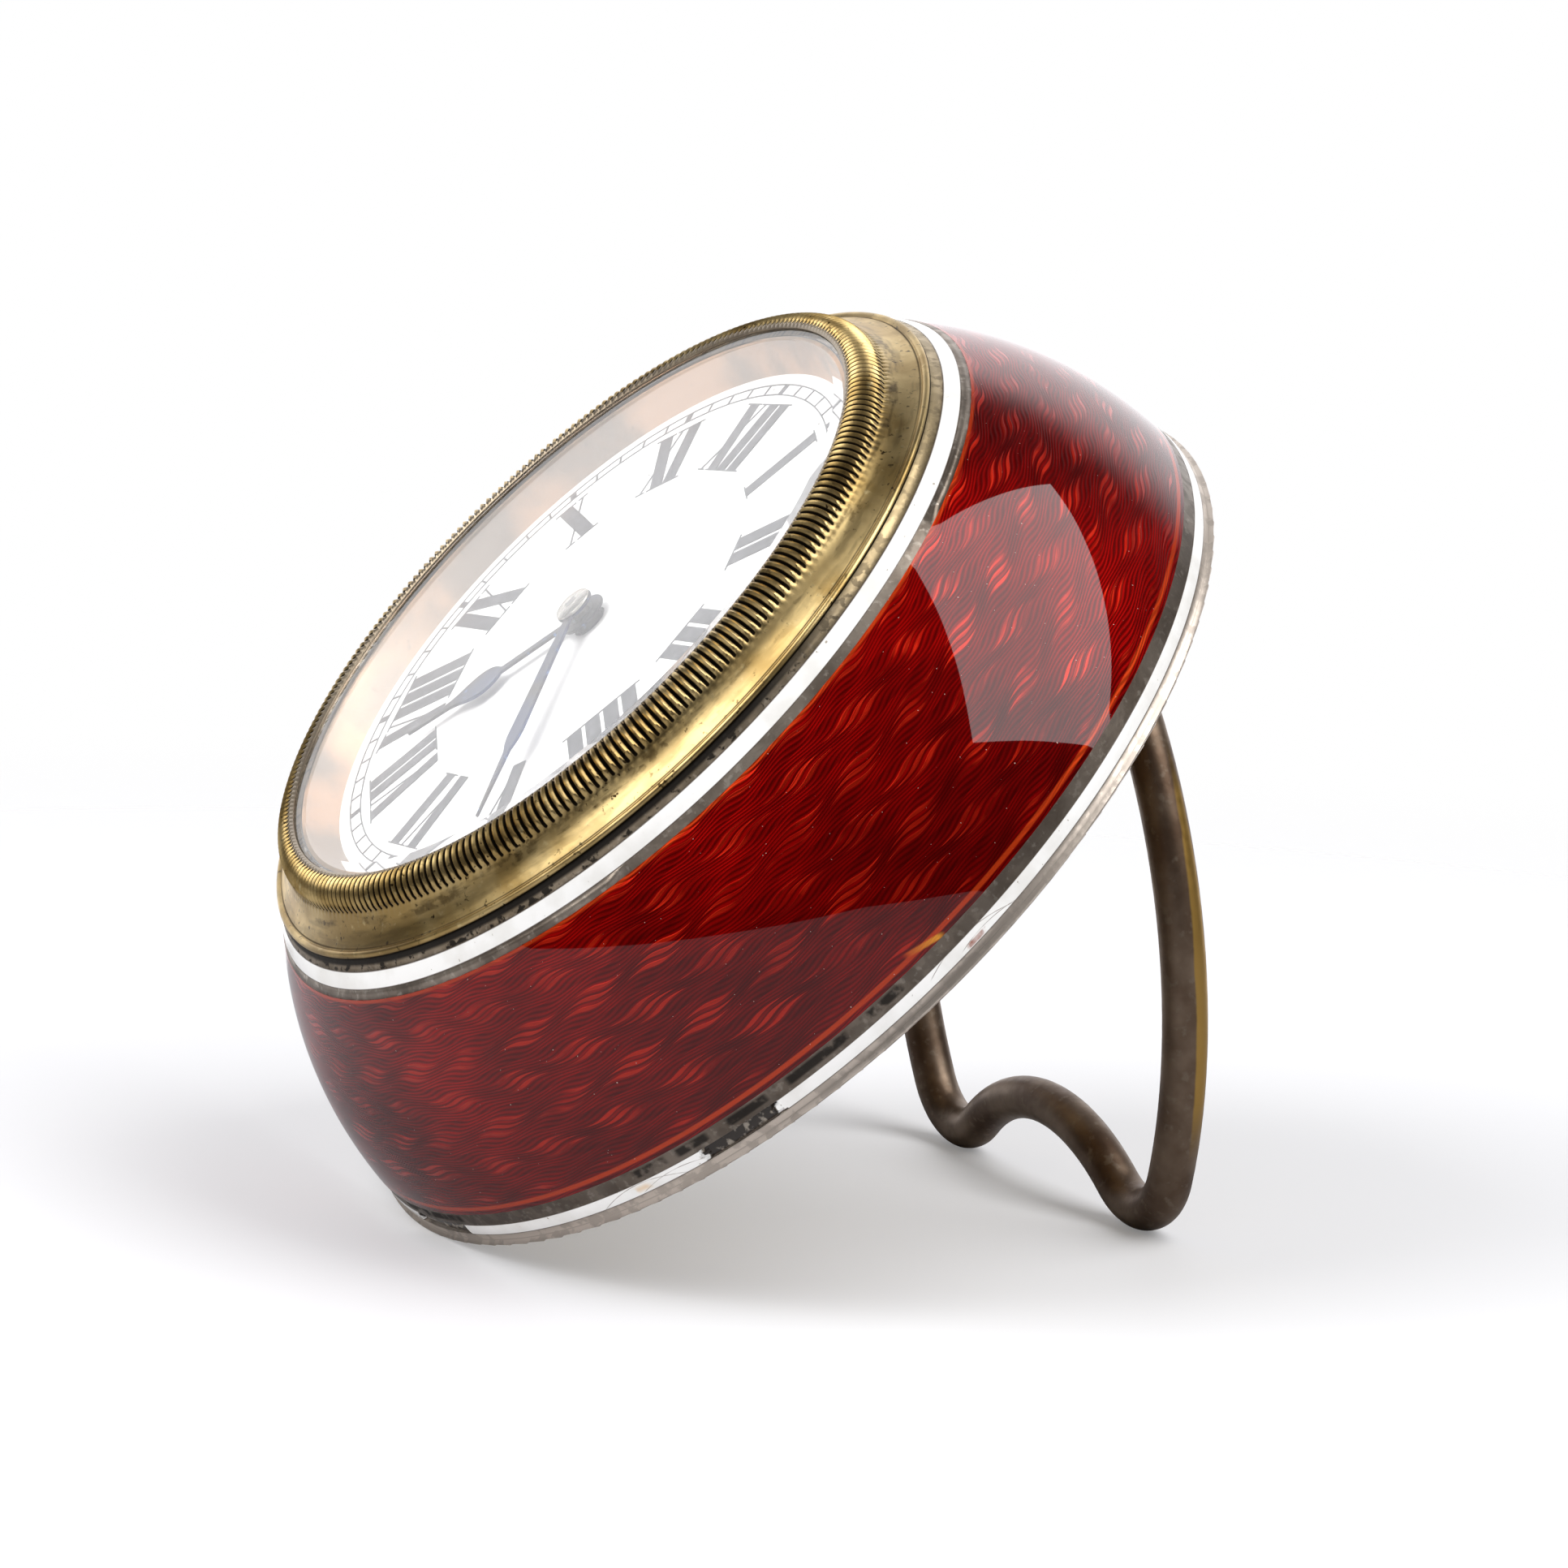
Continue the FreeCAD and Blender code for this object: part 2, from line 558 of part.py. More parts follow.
def sheet_metal(name, low, thickness, loops=(), circles=()):
    """A flat piece of one thickness, with its holes, lying square to the axis."""
    body = doc.addObject("PartDesign::Body", name)
    sketch = draw(body, name + "_outline", "XY_Plane", loops, circles, low)
    pad = body.newObject("PartDesign::Pad", name + "_pad")
    pad.Profile = sketch
    pad.Length = thickness.value
    pad.setExpression("Length", thickness.text)
    sketch.Visibility = False
    return body


def place(piece, x, y, z, turn=None):
    """Moves a primitive to a place given in sizes."""
    rotation = turn if turn is not None else Rotation()
    piece.Placement = Placement(Vector(x.value, y.value, z.value), rotation)
    for axis, size in (("x", x), ("y", y), ("z", z)):
        piece.setExpression(f"Placement.Base.{axis}", size.text)


def rod(name, radius, low, height, x=as_size(0), y=as_size(0)):
    """A round bar along the clock's axis."""
    bar = doc.addObject("Part::Cylinder", name)
    bar.setExpression("Radius", radius.text)
    bar.setExpression("Height", height.text)
    place(bar, x, y, low)
    return bar


def cross_rod(name, radius, start, length, y, z):
    """A round bar along X."""
    bar = doc.addObject("Part::Cylinder", name)
    bar.setExpression("Radius", radius.text)
    bar.setExpression("Height", length.text)
    place(bar, start, y, z, Rotation(UPWARD, 90))
    return bar


def block(name, size_x, size_y, size_z, x, y, z):
    """A box with one corner at x, y, z."""
    box = doc.addObject("Part::Box", name)
    box.setExpression("Length", size_x.text)
    box.setExpression("Width", size_y.text)
    box.setExpression("Height", size_z.text)
    place(box, x, y, z)
    return box


def joined(name, parts):
    fuse = doc.addObject("Part::MultiFuse", name)
    fuse.Shapes = parts
    fuse.Refine = False
    return fuse


def grouped(name, parts):
    group = doc.addObject("Part::Compound", name)
    group.Links = parts
    return group


def without(name, base, tools):
    """The base with the tools cut away."""
    tool = tools[0] if len(tools) == 1 else grouped(name + "_cutters", tools)
    result = doc.addObject("Part::Cut", name)
    result.Base = base
    result.Tool = tool
    return result


def shaped(name, shape):
    """A piece whose outline is worked out point by point."""
    feature = doc.addObject("Part::Feature", name)
    feature.Shape = Part.makeCompound([shape])
    return feature


def around(count, start, radius):
    """Places spread evenly round a circle, as sizes."""
    for i in range(int(count.value)):
        angle = start + as_size(360 * i) / count
        yield radius * cosine(angle), radius * sine(angle)


def spun(point, degrees):
    """A point turned about the axis."""
    return Rotation(FORWARD, degrees).multVec(point)


def flat_face(points):
    return Part.Face(Part.makePolygon(points + points[:1]))


def round_wire(radius, centre):
    return Part.Wire(Part.makeCircle(radius, centre))


def gear(name, teeth, module, low, thickness, phase, x=as_size(0), y=as_size(0), bore=None, crossings=0):
    """A toothed wheel. One tooth points in the direction of the phase."""
    count = int(teeth.value)
    pitch_radius = teeth.value * module.value / 2
    tip = pitch_radius + dim.tip_share.value * module.value
    foot = pitch_radius - dim.root_share.value * module.value
    half = 180 * dim.tooth_share.value / count
    flank_shares = ((foot, 1.45), (pitch_radius, 1.0), (tip, 0.35), (tip, -0.35), (pitch_radius, -1.0), (foot, -1.45))
    points = []
    for i in range(count):
        middle = phase + 360 * i / count
        for radius, share in flank_shares:
            points.append(spun(Vector(radius, 0, 0), middle - share * half))
    wires = [Part.makePolygon(points + points[:1])]
    if bore is not None:
        wires.append(round_wire(bore.value, NOWHERE))
    for i in range(crossings):
        centre = spun(Vector(foot * 0.6, 0, 0), 360 * i / crossings)
        wires.append(round_wire(foot * 0.2, centre))
    solid = Part.makeFace(wires, "Part::FaceMakerBullseye").extrude(FORWARD * thickness.value)
    solid.translate(Vector(x.value, y.value, low.value))
    return shaped(name, solid)


def meeting_phase(phase, teeth, bearing, other_teeth):
    """Phase of a wheel in mesh with another that lies towards it along the bearing."""
    share = (bearing.value - phase) * teeth.value / other_teeth.value
    return bearing.value + 180 - 180 / other_teeth.value + share


def spiral(name, inner, outer, turns, strip, low, width, x, y):
    """A flat spiral ribbon, from its inner end to its outer one."""
    steps_per_turn = 12
    count = int(turns.value * steps_per_turn)

    def side(offset):
        points = []
        for i in range(count + 1):
            radius = inner.value + (outer.value - inner.value) * i / count + offset
            points.append(spun(Vector(radius, 0, 0), 360 * i / steps_per_turn))
        curve = Part.BSplineCurve()
        curve.interpolate(points)
        return curve.toShape(), points

    near, near_points = side(-strip.value / 2)
    far, far_points = side(strip.value / 2)
    first = Part.makeLine(near_points[0], far_points[0])
    last = Part.makeLine(near_points[-1], far_points[-1])
    face = Part.Face(Part.Wire(Part.__sortEdges__([near, last, far, first])))
    ribbon = face.extrude(FORWARD * width.value)
    ribbon.translate(Vector(x.value, y.value, low.value))
    return shaped(name, ribbon)


def screw(name, x, y, face, head_side, shaft_radius, shaft_length, head_radius, head_height):
    """A slotted screw. Its head stands on a face towards the back (-1) or the front (1)."""
    head_low = face if head_side > 0 else face - head_height
    shaft_low = face - shaft_length if head_side > 0 else face
    head = rod(name + "_head", head_radius, head_low, head_height, x, y)
    shaft = rod(name + "_shaft", shaft_radius, shaft_low, shaft_length, x, y)
    depth = head_height / 2
    slot_low = head_low + head_height - depth if head_side > 0 else head_low
    slot = block(name + "_slot", head_radius * 2, dim.slot_width, depth,
                 x - head_radius, y - dim.slot_width / 2, slot_low)
    return without(name, joined(name + "_turned", [head, shaft]), [slot])


def band_radius_at(height):
    """Case wall between the rim bead and the dome, a slightly tapering band."""
    taper = (dim.band_radius - dim.dome_foot_radius) / (dim.dome_foot_height - dim.rim_lip_height)
    return dim.band_radius - taper * (height - dim.rim_lip_height)


def shoulder_point(radius, depth=as_size(0)):
    """A point on the case's sloping shoulder, or below it by a depth square to it."""
    height = dim.dome_top_height + (dim.dome_top_radius - radius) * dim.shoulder_slope
    return radius - depth * dim.shoulder_slope / dim.shoulder_side, height - depth / dim.shoulder_side


def dome_point(outer, depth):
    """A point of the dome's section moved towards the section's centre by a depth."""
    share = depth / dim.dome_arc
    centre = (dim.dome_centre_radius, dim.dome_centre_height)
    return tuple(o - (o - c) * share for o, c in zip(outer, centre))


def make_case():
    """The silver shell, with a channel for each band of enamel."""
    foot = (dim.dome_foot_radius, dim.dome_foot_height)
    top = (dim.dome_top_radius, dim.dome_top_height)
    floor_arc = dim.dome_arc - dim.enamel_depth
    channel = dim.band_radius - dim.enamel_depth
    outer_stripe = shoulder_point(dim.stripe_outer_radius)
    inner_stripe = shoulder_point(dim.stripe_inner_radius)
    centre = (dim.dome_centre_radius, dim.dome_centre_height)
    wall_arc = floor_arc - dim.case_wall
    lip_low = dim.main_plate_top
    ledge_top = dim.back_inner + dim.ledge_thickness
    outline = [
        (dim.recess_radius, as_size(0)),
        (dim.rim_radius - dim.rim_corner, as_size(0)),
        (dim.rim_radius, dim.rim_corner, dim.rim_corner, -1),
        (dim.band_radius, dim.rim_lip_height),
        (band_radius_at(dim.rim_stripe_low), dim.rim_stripe_low),
        (channel, dim.rim_stripe_low),
        (channel, dim.rim_stripe_top),
        (band_radius_at(dim.rim_stripe_top), dim.rim_stripe_top),
        foot,
        dome_point(foot, dim.enamel_depth),
        dome_point(top, dim.enamel_depth) + (floor_arc, -1),
        top,
        outer_stripe,
        shoulder_point(dim.stripe_outer_radius, dim.enamel_depth),
        shoulder_point(dim.stripe_inner_radius, dim.enamel_depth),
        inner_stripe,
        (dim.shoulder_radius, dim.shoulder_height),
        (dim.neck_radius, dim.shoulder_height),
        (dim.neck_radius, dim.lip_height),
        (dim.lip_radius, dim.lip_height),
        (dim.lip_radius, lip_low),
        (circle_radius(centre, wall_arc, lip_low), lip_low),
        (circle_radius(centre, wall_arc, ledge_top), ledge_top, wall_arc, 1),
        (dim.ledge_radius, ledge_top),
        (dim.ledge_radius, dim.back_inner),
        (dim.recess_radius, dim.back_inner),
    ]
    shell = lathe("shell", outline)
    bores = []
    for x, y in around(dim.back_screw_count, dim.back_screw_start, dim.back_screw_place):
        bores.append(rod("ledge_bore", dim.back_screw_radius, dim.back_inner, dim.back_screw_bite, x, y))
    for x, y in around(dim.movement_screw_count, as_size(90), dim.movement_screw_place):
        bores.append(rod("lip_bore", dim.movement_screw_radius, lip_low, dim.movement_screw_bite, x, y))
    finish(without("case_shell", shell, bores), "case_shell")


def make_enamel():
    """The red dome and the two white stripes, each filling its channel."""
    foot = (dim.dome_foot_radius, dim.dome_foot_height)
    top = (dim.dome_top_radius, dim.dome_top_height)
    red = [
        foot,
        top + (dim.dome_arc, -1),
        dome_point(top, dim.enamel_depth),
        dome_point(foot, dim.enamel_depth) + (dim.dome_arc - dim.enamel_depth, 1),
    ]
    finish(lathe("red_band", red), "red_enamel")
    front = [
        shoulder_point(dim.stripe_outer_radius),
        shoulder_point(dim.stripe_inner_radius),
        shoulder_point(dim.stripe_inner_radius, dim.enamel_depth),
        shoulder_point(dim.stripe_outer_radius, dim.enamel_depth),
    ]
    finish(lathe("front_stripe", front), "front_enamel_stripe")
    channel = dim.band_radius - dim.enamel_depth
    rim = [
        (channel, dim.rim_stripe_low),
        (band_radius_at(dim.rim_stripe_low), dim.rim_stripe_low),
        (band_radius_at(dim.rim_stripe_top), dim.rim_stripe_top),
        (channel, dim.rim_stripe_top),
    ]
    finish(lathe("rim_stripe", rim), "rim_enamel_stripe")


def make_bezel():
    """The gilt bezel: skirt, hollow flange, rounded shoulder and a lip over the glass."""
    seat = dim.shoulder_height
    edge_top = seat + dim.bezel_edge_thickness
    bead_in = dim.bezel_edge_radius - dim.bezel_bead_width
    skirt_in = dim.skirt_radius - dim.skirt_wall
    web_low = dim.glass_low - dim.bezel_web
    lip_top = dim.bezel_crown_height - dim.bezel_lip_drop
    lip_low = dim.glass_top - (dim.glass_thickness - dim.glass_edge) * glass_bevel_share()
    outline = [
        (skirt_in, seat - dim.skirt_length),
        (dim.skirt_radius, seat - dim.skirt_length),
        (dim.skirt_radius, seat),
        (dim.bezel_edge_radius, seat),
        (dim.bezel_edge_radius, edge_top),
        (bead_in, edge_top, dim.bezel_bead_arc, -1),
        (dim.cove_top_radius, dim.cove_top_height, dim.cove_arc, 1),
        (dim.bezel_crown_radius, dim.bezel_crown_height, dim.shoulder_arc, -1),
        (dim.bezel_lip_radius, lip_top),
        (dim.bezel_lip_radius, lip_low),
        (dim.glass_radius, dim.glass_low + dim.glass_edge),
        (dim.glass_radius, dim.glass_low),
        (dim.bezel_throat, dim.glass_low),
        (dim.bezel_throat, web_low),
        (skirt_in, web_low),
    ]
    finish(lathe("bezel_ring", outline), "bezel")


def glass_bevel_share():
    """How far down the bevel the bezel's lip reaches, as a share of the bevel."""
    bevel_start = dim.glass_radius - dim.glass_bevel
    return (dim.bezel_lip_radius - bevel_start) / dim.glass_bevel


def make_glass():
    outline = [
        (as_size(0), dim.glass_low),
        (dim.glass_radius, dim.glass_low),
        (dim.glass_radius, dim.glass_low + dim.glass_edge),
        (dim.glass_radius - dim.glass_bevel, dim.glass_top),
        (as_size(0), dim.glass_top),
    ]
    finish(lathe("glass_disc", outline), "glass")


def make_sight_ring():
    """The sloping ring between the dial and the glass."""
    outline = [
        (dim.sight_inner_radius, dim.dial_face_height),
        (dim.sight_outer_radius, dim.dial_face_height),
        (dim.sight_outer_radius, dim.glass_low),
        (dim.sight_mouth_radius, dim.glass_low),
    ]
    finish(lathe("sight", outline), "sight_ring")


def dial_feet():
    """Places of the two posts behind the dial."""
    return list(around(as_size(2), dim.dial_turn + 20, dim.dial_foot_place))


def make_dial():
    zero = as_size(0)
    disc = sheet_metal("dial_disc", dim.dial_low, dim.dial_thickness,
                       circles=[(zero, zero, dim.dial_radius), (zero, zero, dim.dial_hole)])
    low = dim.dial_low - dim.dial_foot_length
    feet = [rod("dial_foot", dim.dial_foot_radius, low, dim.dial_foot_length, x, y) for x, y in dial_feet()]
    finish(joined("dial", [disc] + feet), "dial")
    spacer = sheet_metal("spacer", dim.main_plate_top, dim.dial_low - dim.main_plate_top,
                         circles=[(zero, zero, dim.dial_radius), (zero, zero, dim.spacer_inner_radius)])
    finish(spacer, "dial_spacer")


def stroke_solid(foot_x, head_x, width, footed):
    """One stroke of a numeral with serifs at its head and, if footed, at its foot."""
    low = dim.numeral_inner_radius.value
    high = dim.numeral_outer_radius.value
    edge = dim.numeral_serif.value
    lean = (head_x - foot_x) / (high - low)
    half = width.value / 2
    reach = dim.numeral_serif_reach.value
    foot_reach = reach if footed else 0.0
    right = [
        Vector(foot_x + half + foot_reach, low, 0),
        Vector(foot_x + half + foot_reach, low + edge, 0),
        Vector(foot_x + half + lean * edge, low + edge, 0),
        Vector(head_x + half - lean * edge, high - edge, 0),
        Vector(head_x + half + reach, high - edge, 0),
        Vector(head_x + half + reach, high, 0),
    ]
    left = [
        Vector(head_x - half - reach, high, 0),
        Vector(head_x - half - reach, high - edge, 0),
        Vector(head_x - half - lean * edge, high - edge, 0),
        Vector(foot_x - half + lean * edge, low + edge, 0),
        Vector(foot_x - half - foot_reach, low + edge, 0),
        Vector(foot_x - half - foot_reach, low, 0),
    ]
    points = right + left
    corners = [point for i, point in enumerate(points) if not point.isEqual(points[i - 1], 1e-6)]
    return flat_face(corners).extrude(FORWARD * dim.paint.value)


def numeral_letters(letters):
    """Solids of a Roman numeral's letters, centred on the line to XII."""
    heavy, fine = dim.numeral_thick, dim.numeral_thin
    pitch = dim.stroke_pitch.value
    slant = dim.slant_width.value / 2
    wide = dim.slant_width.value + dim.slant_space.value
    widths = [pitch if letter == "I" else wide for letter in letters]
    left = -sum(widths) / 2
    solids = []
    for letter, width in zip(letters, widths):
        middle = left + width / 2
        left += width
        if letter == "I":
            solids.append(stroke_solid(middle, middle, heavy, True))
            continue
        foot = slant if letter == "X" else 0
        first = stroke_solid(middle + foot, middle - slant, heavy, letter == "X")
        second = stroke_solid(middle - foot, middle + slant, fine, letter == "X")
        solids.append(first.fuse(second))
    return solids[0].fuse(solids[1:]).Solids if len(solids) > 1 else solids[0].Solids


def make_markings():
    """Twelve Roman numerals and a ladder track of sixty minutes."""
    numerals = ("XII", "I", "II", "III", "IIII", "V", "VI", "VII", "VIII", "IX", "X", "XI")
    turn = dim.dial_turn.value
    solids = []
    for hour, letters in enumerate(numerals):
        for solid in numeral_letters(letters):
            solid.rotate(NOWHERE, FORWARD, turn - 30 * hour)
            solids.append(solid)
    line = dim.track_line.value
    inner = dim.track_inner_radius.value
    outer = dim.track_outer_radius.value
    track = Part.makeCylinder(outer, dim.paint.value).cut(Part.makeCylinder(inner, dim.paint.value))
    ring = Part.makeCylinder(outer - line, dim.paint.value).cut(Part.makeCylinder(inner + line, dim.paint.value))
    bars = []
    for minute in range(60):
        width = dim.track_block.value if minute % 5 == 0 else dim.track_tick.value
        bar = Part.makeBox(width, outer - inner, dim.paint.value, Vector(-width / 2, inner, 0))
        bar.rotate(NOWHERE, FORWARD, turn + 6 * minute)
        bars.append(bar)
    windows = ring.cut(bars)
    solids.append(track.cut(windows))
    markings = Part.makeCompound(solids)
    markings.translate(FORWARD * dim.dial_face_height.value)
    finish(shaped("figures", markings), "dial_markings")


def hand_solid(outline, hub, bore, low, angle):
    """A hand from half-width points along its length, with a round hub and a hole."""
    right = [Vector(half, along, 0) for along, half in outline]
    left = [Vector(-half, along, 0) for along, half in reversed(outline)]
    thickness = dim.hand_thickness.value
    blade = flat_face(right + left).extrude(FORWARD * thickness)
    solid = blade.fuse(Part.makeCylinder(hub.value, thickness)).cut(Part.makeCylinder(bore.value, thickness))
    solid.rotate(NOWHERE, FORWARD, angle)
    solid.translate(FORWARD * low.value)
    return solid.removeSplitter()


def hour_angle():
    return dim.dial_turn - 30 * dim.hour_reading


def minute_angle():
    return dim.dial_turn - 360 * (dim.hour_reading - int(dim.hour_reading.value))


def make_hands():
    """Blued hands, the cap over them and the arbor that carries them."""
    length = dim.hour_hand_length.value
    stem = dim.hour_hand_stem.value
    swell = dim.hour_hand_swell.value
    tip = dim.hand_tip.value
    hour_shares = ((0, stem), (0.46, stem), (0.485, 0.62 * swell), (0.52, 0.88 * swell), (0.565, swell),
                   (0.61, 0.94 * swell), (0.66, 0.74 * swell), (0.71, 0.46 * swell), (0.76, 0.28 * swell), (1, tip))
    outline = [(share * length, half) for share, half in hour_shares]
    hour_bore = dim.cannon_radius + dim.running_clearance + dim.hour_pipe_wall
    hour = hand_solid(outline, dim.hour_hand_hub, hour_bore, dim.hour_hand_height, hour_angle().value)
    finish(shaped("hour_blade", hour), "hour_hand")
    length = dim.minute_hand_length.value
    stem = dim.minute_hand_stem.value
    swell = dim.minute_hand_swell.value
    minute_shares = ((0, stem), (0.3, 0.72 * swell), (0.62, swell), (0.66, 0.82 * swell),
                     (0.7, 0.42 * swell), (1, tip))
    outline = [(share * length, half) for share, half in minute_shares]
    minute = hand_solid(outline, dim.minute_hand_hub, dim.cannon_radius,
                        dim.minute_hand_height, minute_angle().value)
    finish(shaped("minute_blade", minute), "minute_hand")
    cap_low = dim.minute_hand_height + dim.hand_thickness
    cap_top = cap_low + dim.cap_height
    cap = lathe("cap", [
        (dim.arbor_radius, cap_low),
        (dim.cap_radius, cap_low),
        (dim.cap_radius, cap_low + dim.cap_height / 2),
        (dim.arbor_radius, cap_top, dim.cap_radius * 2, -1),
    ])
    finish(cap, "hand_cap")
    arbor_low = dim.recess_depth - dim.knob_height
    arbor = rod("arbor", dim.arbor_radius, arbor_low, cap_top - arbor_low)
    finish(grouped("centre_arbor", [arbor]), "centre_arbor")


def make_motion_work():
    """Cannon pinion, minute wheel and hour wheel, between the main plate and the dial."""
    start = minute_angle().value
    low = dim.main_plate_top + dim.layer_gap
    pinion_height = dim.motion_pinion_height
    leaves = gear("cannon_leaves", dim.cannon_teeth, dim.cannon_module, low, pinion_height, start,
                  bore=dim.arbor_radius)
    zero = as_size(0)
    pipe_low = low + pinion_height
    pipe = sheet_metal("cannon_pipe", pipe_low, dim.minute_hand_height + dim.hand_thickness - pipe_low,
                       circles=[(zero, zero, dim.cannon_radius), (zero, zero, dim.arbor_radius)])
    finish(grouped("cannon", [leaves, pipe]), "cannon_pinion")
    x, y = dim.minute_wheel_x, dim.minute_wheel_y
    phase = meeting_phase(start, dim.cannon_teeth, dim.minute_wheel_bearing, dim.minute_wheel_teeth)
    stud_bore = dim.motion_stud + dim.running_clearance
    wheel = gear("minute_rim", dim.minute_wheel_teeth, dim.cannon_module, low, dim.motion_wheel_thickness,
                 phase, x, y, stud_bore)
    pinion_low = low + dim.motion_wheel_thickness
    pinion_top = dim.dial_low - dim.layer_gap
    pinion = gear("minute_leaves", dim.minute_pinion_teeth, dim.hour_module, pinion_low,
                  pinion_top - pinion_low, 0, x, y, stud_bore)
    finish(grouped("minute_pair", [wheel, pinion]), "minute_wheel")
    hour_low = low + pinion_height + dim.layer_gap
    back = dim.minute_wheel_bearing + 180
    phase = meeting_phase(0, dim.minute_pinion_teeth, back, dim.hour_wheel_teeth)
    bore = dim.cannon_radius + dim.running_clearance
    rim = gear("hour_rim", dim.hour_wheel_teeth, dim.hour_module, hour_low, dim.wheel_thickness, phase, bore=bore)
    tube_low = hour_low + dim.wheel_thickness
    tube = sheet_metal("hour_tube", tube_low, dim.hour_hand_height + dim.hand_thickness - tube_low,
                       circles=[(zero, zero, bore + dim.hour_pipe_wall), (zero, zero, bore)])
    finish(grouped("hour_pair", [rim, tube]), "hour_wheel")


def pivot_places():
    """Arbors that run between the two plates, with the radius of each."""
    return (
        (dim.intermediate_x, dim.intermediate_y, dim.pivot_radius),
        (dim.third_x, dim.third_y, dim.pivot_radius),
        (dim.fourth_x, dim.fourth_y, dim.pivot_radius),
        (dim.escape_x, dim.escape_y, dim.pivot_radius),
        (dim.pallet_x, dim.pallet_y, dim.pivot_radius),
        (dim.balance_x, dim.balance_y, dim.pivot_radius),
        (dim.barrel_x, dim.barrel_y, dim.barrel_arbor_radius),
        (as_size(0), as_size(0), dim.arbor_radius),
    )


def make_plates():
    """The two plates of the movement, its pillars and their screws."""
    zero = as_size(0)
    pivots = [(x, y, radius + dim.running_clearance) for x, y, radius in pivot_places()]
    feet = [(x, y, dim.dial_foot_radius) for x, y in dial_feet()]
    fixing = around(dim.movement_screw_count, as_size(90), dim.movement_screw_place)
    screws = [(x, y, dim.movement_screw_radius) for x, y in fixing]
    plate = sheet_metal("front_plate", dim.main_plate_low, dim.main_plate_thickness,
                        circles=[(zero, zero, dim.main_plate_radius)] + pivots + feet + screws)
    stud_length = dim.dial_low - dim.layer_gap - dim.main_plate_top
    stud = rod("minute_stud", dim.motion_stud, dim.main_plate_top, stud_length,
               dim.minute_wheel_x, dim.minute_wheel_y)
    finish(joined("main_plate", [plate, stud]), "main_plate")
    pillars = list(around(dim.pillar_count, dim.pillar_start, dim.pillar_place))
    holes = [(x, y, dim.pillar_screw_radius) for x, y in pillars]
    click_x, click_y = click_place()
    holes.append((click_x, click_y, dim.pivot_radius))
    rear = sheet_metal("rear_plate", dim.train_plate_low, dim.train_plate_thickness,
                       circles=[(zero, zero, dim.train_plate_radius)] + pivots + holes)
    boss_low = dim.train_plate_low - dim.ratchet_thickness - dim.layer_gap
    boss = sheet_metal("regulator_boss", boss_low, dim.train_plate_low - boss_low, circles=[
        (dim.balance_x, dim.balance_y, dim.regulator_post),
        (dim.balance_x, dim.balance_y, dim.pivot_radius + dim.running_clearance),
    ])
    finish(joined("train_plate", [rear, boss]), "train_plate")
    posts = []
    screws = []
    for x, y in pillars:
        post = rod("pillar", dim.pillar_radius, dim.train_plate_top, dim.plate_distance, x, y)
        bite = dim.pillar_screw_length - dim.train_plate_thickness
        hole = rod("pillar_hole", dim.pillar_screw_radius, dim.train_plate_top, bite, x, y)
        posts.append(without("pillar_post", post, [hole]))
        screws.append(screw("pillar_screw", x, y, dim.train_plate_low, -1, dim.pillar_screw_radius,
                            dim.pillar_screw_length, dim.screw_head_radius, dim.screw_head_height))
    finish(grouped("pillars", posts), "plate_pillars")
    finish(grouped("pillar_screws", screws), "plate_screws")
    fixings = []
    for x, y in around(dim.movement_screw_count, as_size(90), dim.movement_screw_place):
        length = dim.main_plate_thickness + dim.movement_screw_bite
        fixings.append(screw("lip_screw", x, y, dim.main_plate_low, -1, dim.movement_screw_radius,
                             length, dim.screw_head_radius, dim.screw_head_height))
    finish(grouped("lip_screws", fixings), "movement_screws")


def between_plates(name, radius, x, y):
    """An arbor that reaches into both plates."""
    low = dim.train_plate_top - dim.pivot_bite
    length = dim.plate_distance + dim.pivot_bite * 2
    return rod(name + "_arbor", radius, low, length, x, y)


def make_barrel():
    """The going barrel with its cover, mainspring, arbor, ratchet wheel and click."""
    x, y = dim.barrel_x, dim.barrel_y
    floor_low = dim.barrel_floor_low
    low = dim.train_plate_top + dim.barrel_lift
    bore = dim.barrel_arbor_radius + dim.running_clearance
    floor = gear("barrel_teeth_ring", dim.barrel_teeth, dim.barrel_module, floor_low, dim.barrel_floor,
                 barrel_phase(), x, y, bore)
    wall = rod("barrel_wall_outside", dim.barrel_radius, low, floor_low - low, x, y)
    inside = dim.barrel_radius - dim.barrel_wall
    hollow = rod("barrel_wall_inside", inside, low, floor_low - low, x, y)
    finish(joined("barrel_drum", [floor, without("barrel_wall_ring", wall, [hollow])]), "barrel")
    cover = sheet_metal("cover", low, dim.cover_thickness, circles=[(x, y, inside), (x, y, bore)])
    finish(cover, "barrel_cover")
    spring_low = low + dim.cover_thickness + dim.layer_gap
    spring_width = floor_low - dim.layer_gap - spring_low
    inner = dim.core_radius + dim.spring_strip
    outer = inside - dim.spring_strip
    spring = spiral("spring_ribbon", inner, outer, dim.spring_turns, dim.spring_strip,
                    spring_low, spring_width, x, y)
    finish(spring, "mainspring")
    core = rod("arbor_core", dim.core_radius, spring_low, spring_width, x, y)
    shaft_low = dim.recess_depth - dim.layer_gap - dim.key_seat
    shaft = rod("arbor_shaft", dim.barrel_arbor_radius, shaft_low,
                dim.main_plate_low + dim.pivot_bite - shaft_low, x, y)
    finish(joined("winding_arbor", [core, shaft]), "barrel_arbor")
    make_ratchet(x, y)


def ratchet_low():
    return dim.train_plate_low - dim.layer_gap - dim.ratchet_thickness


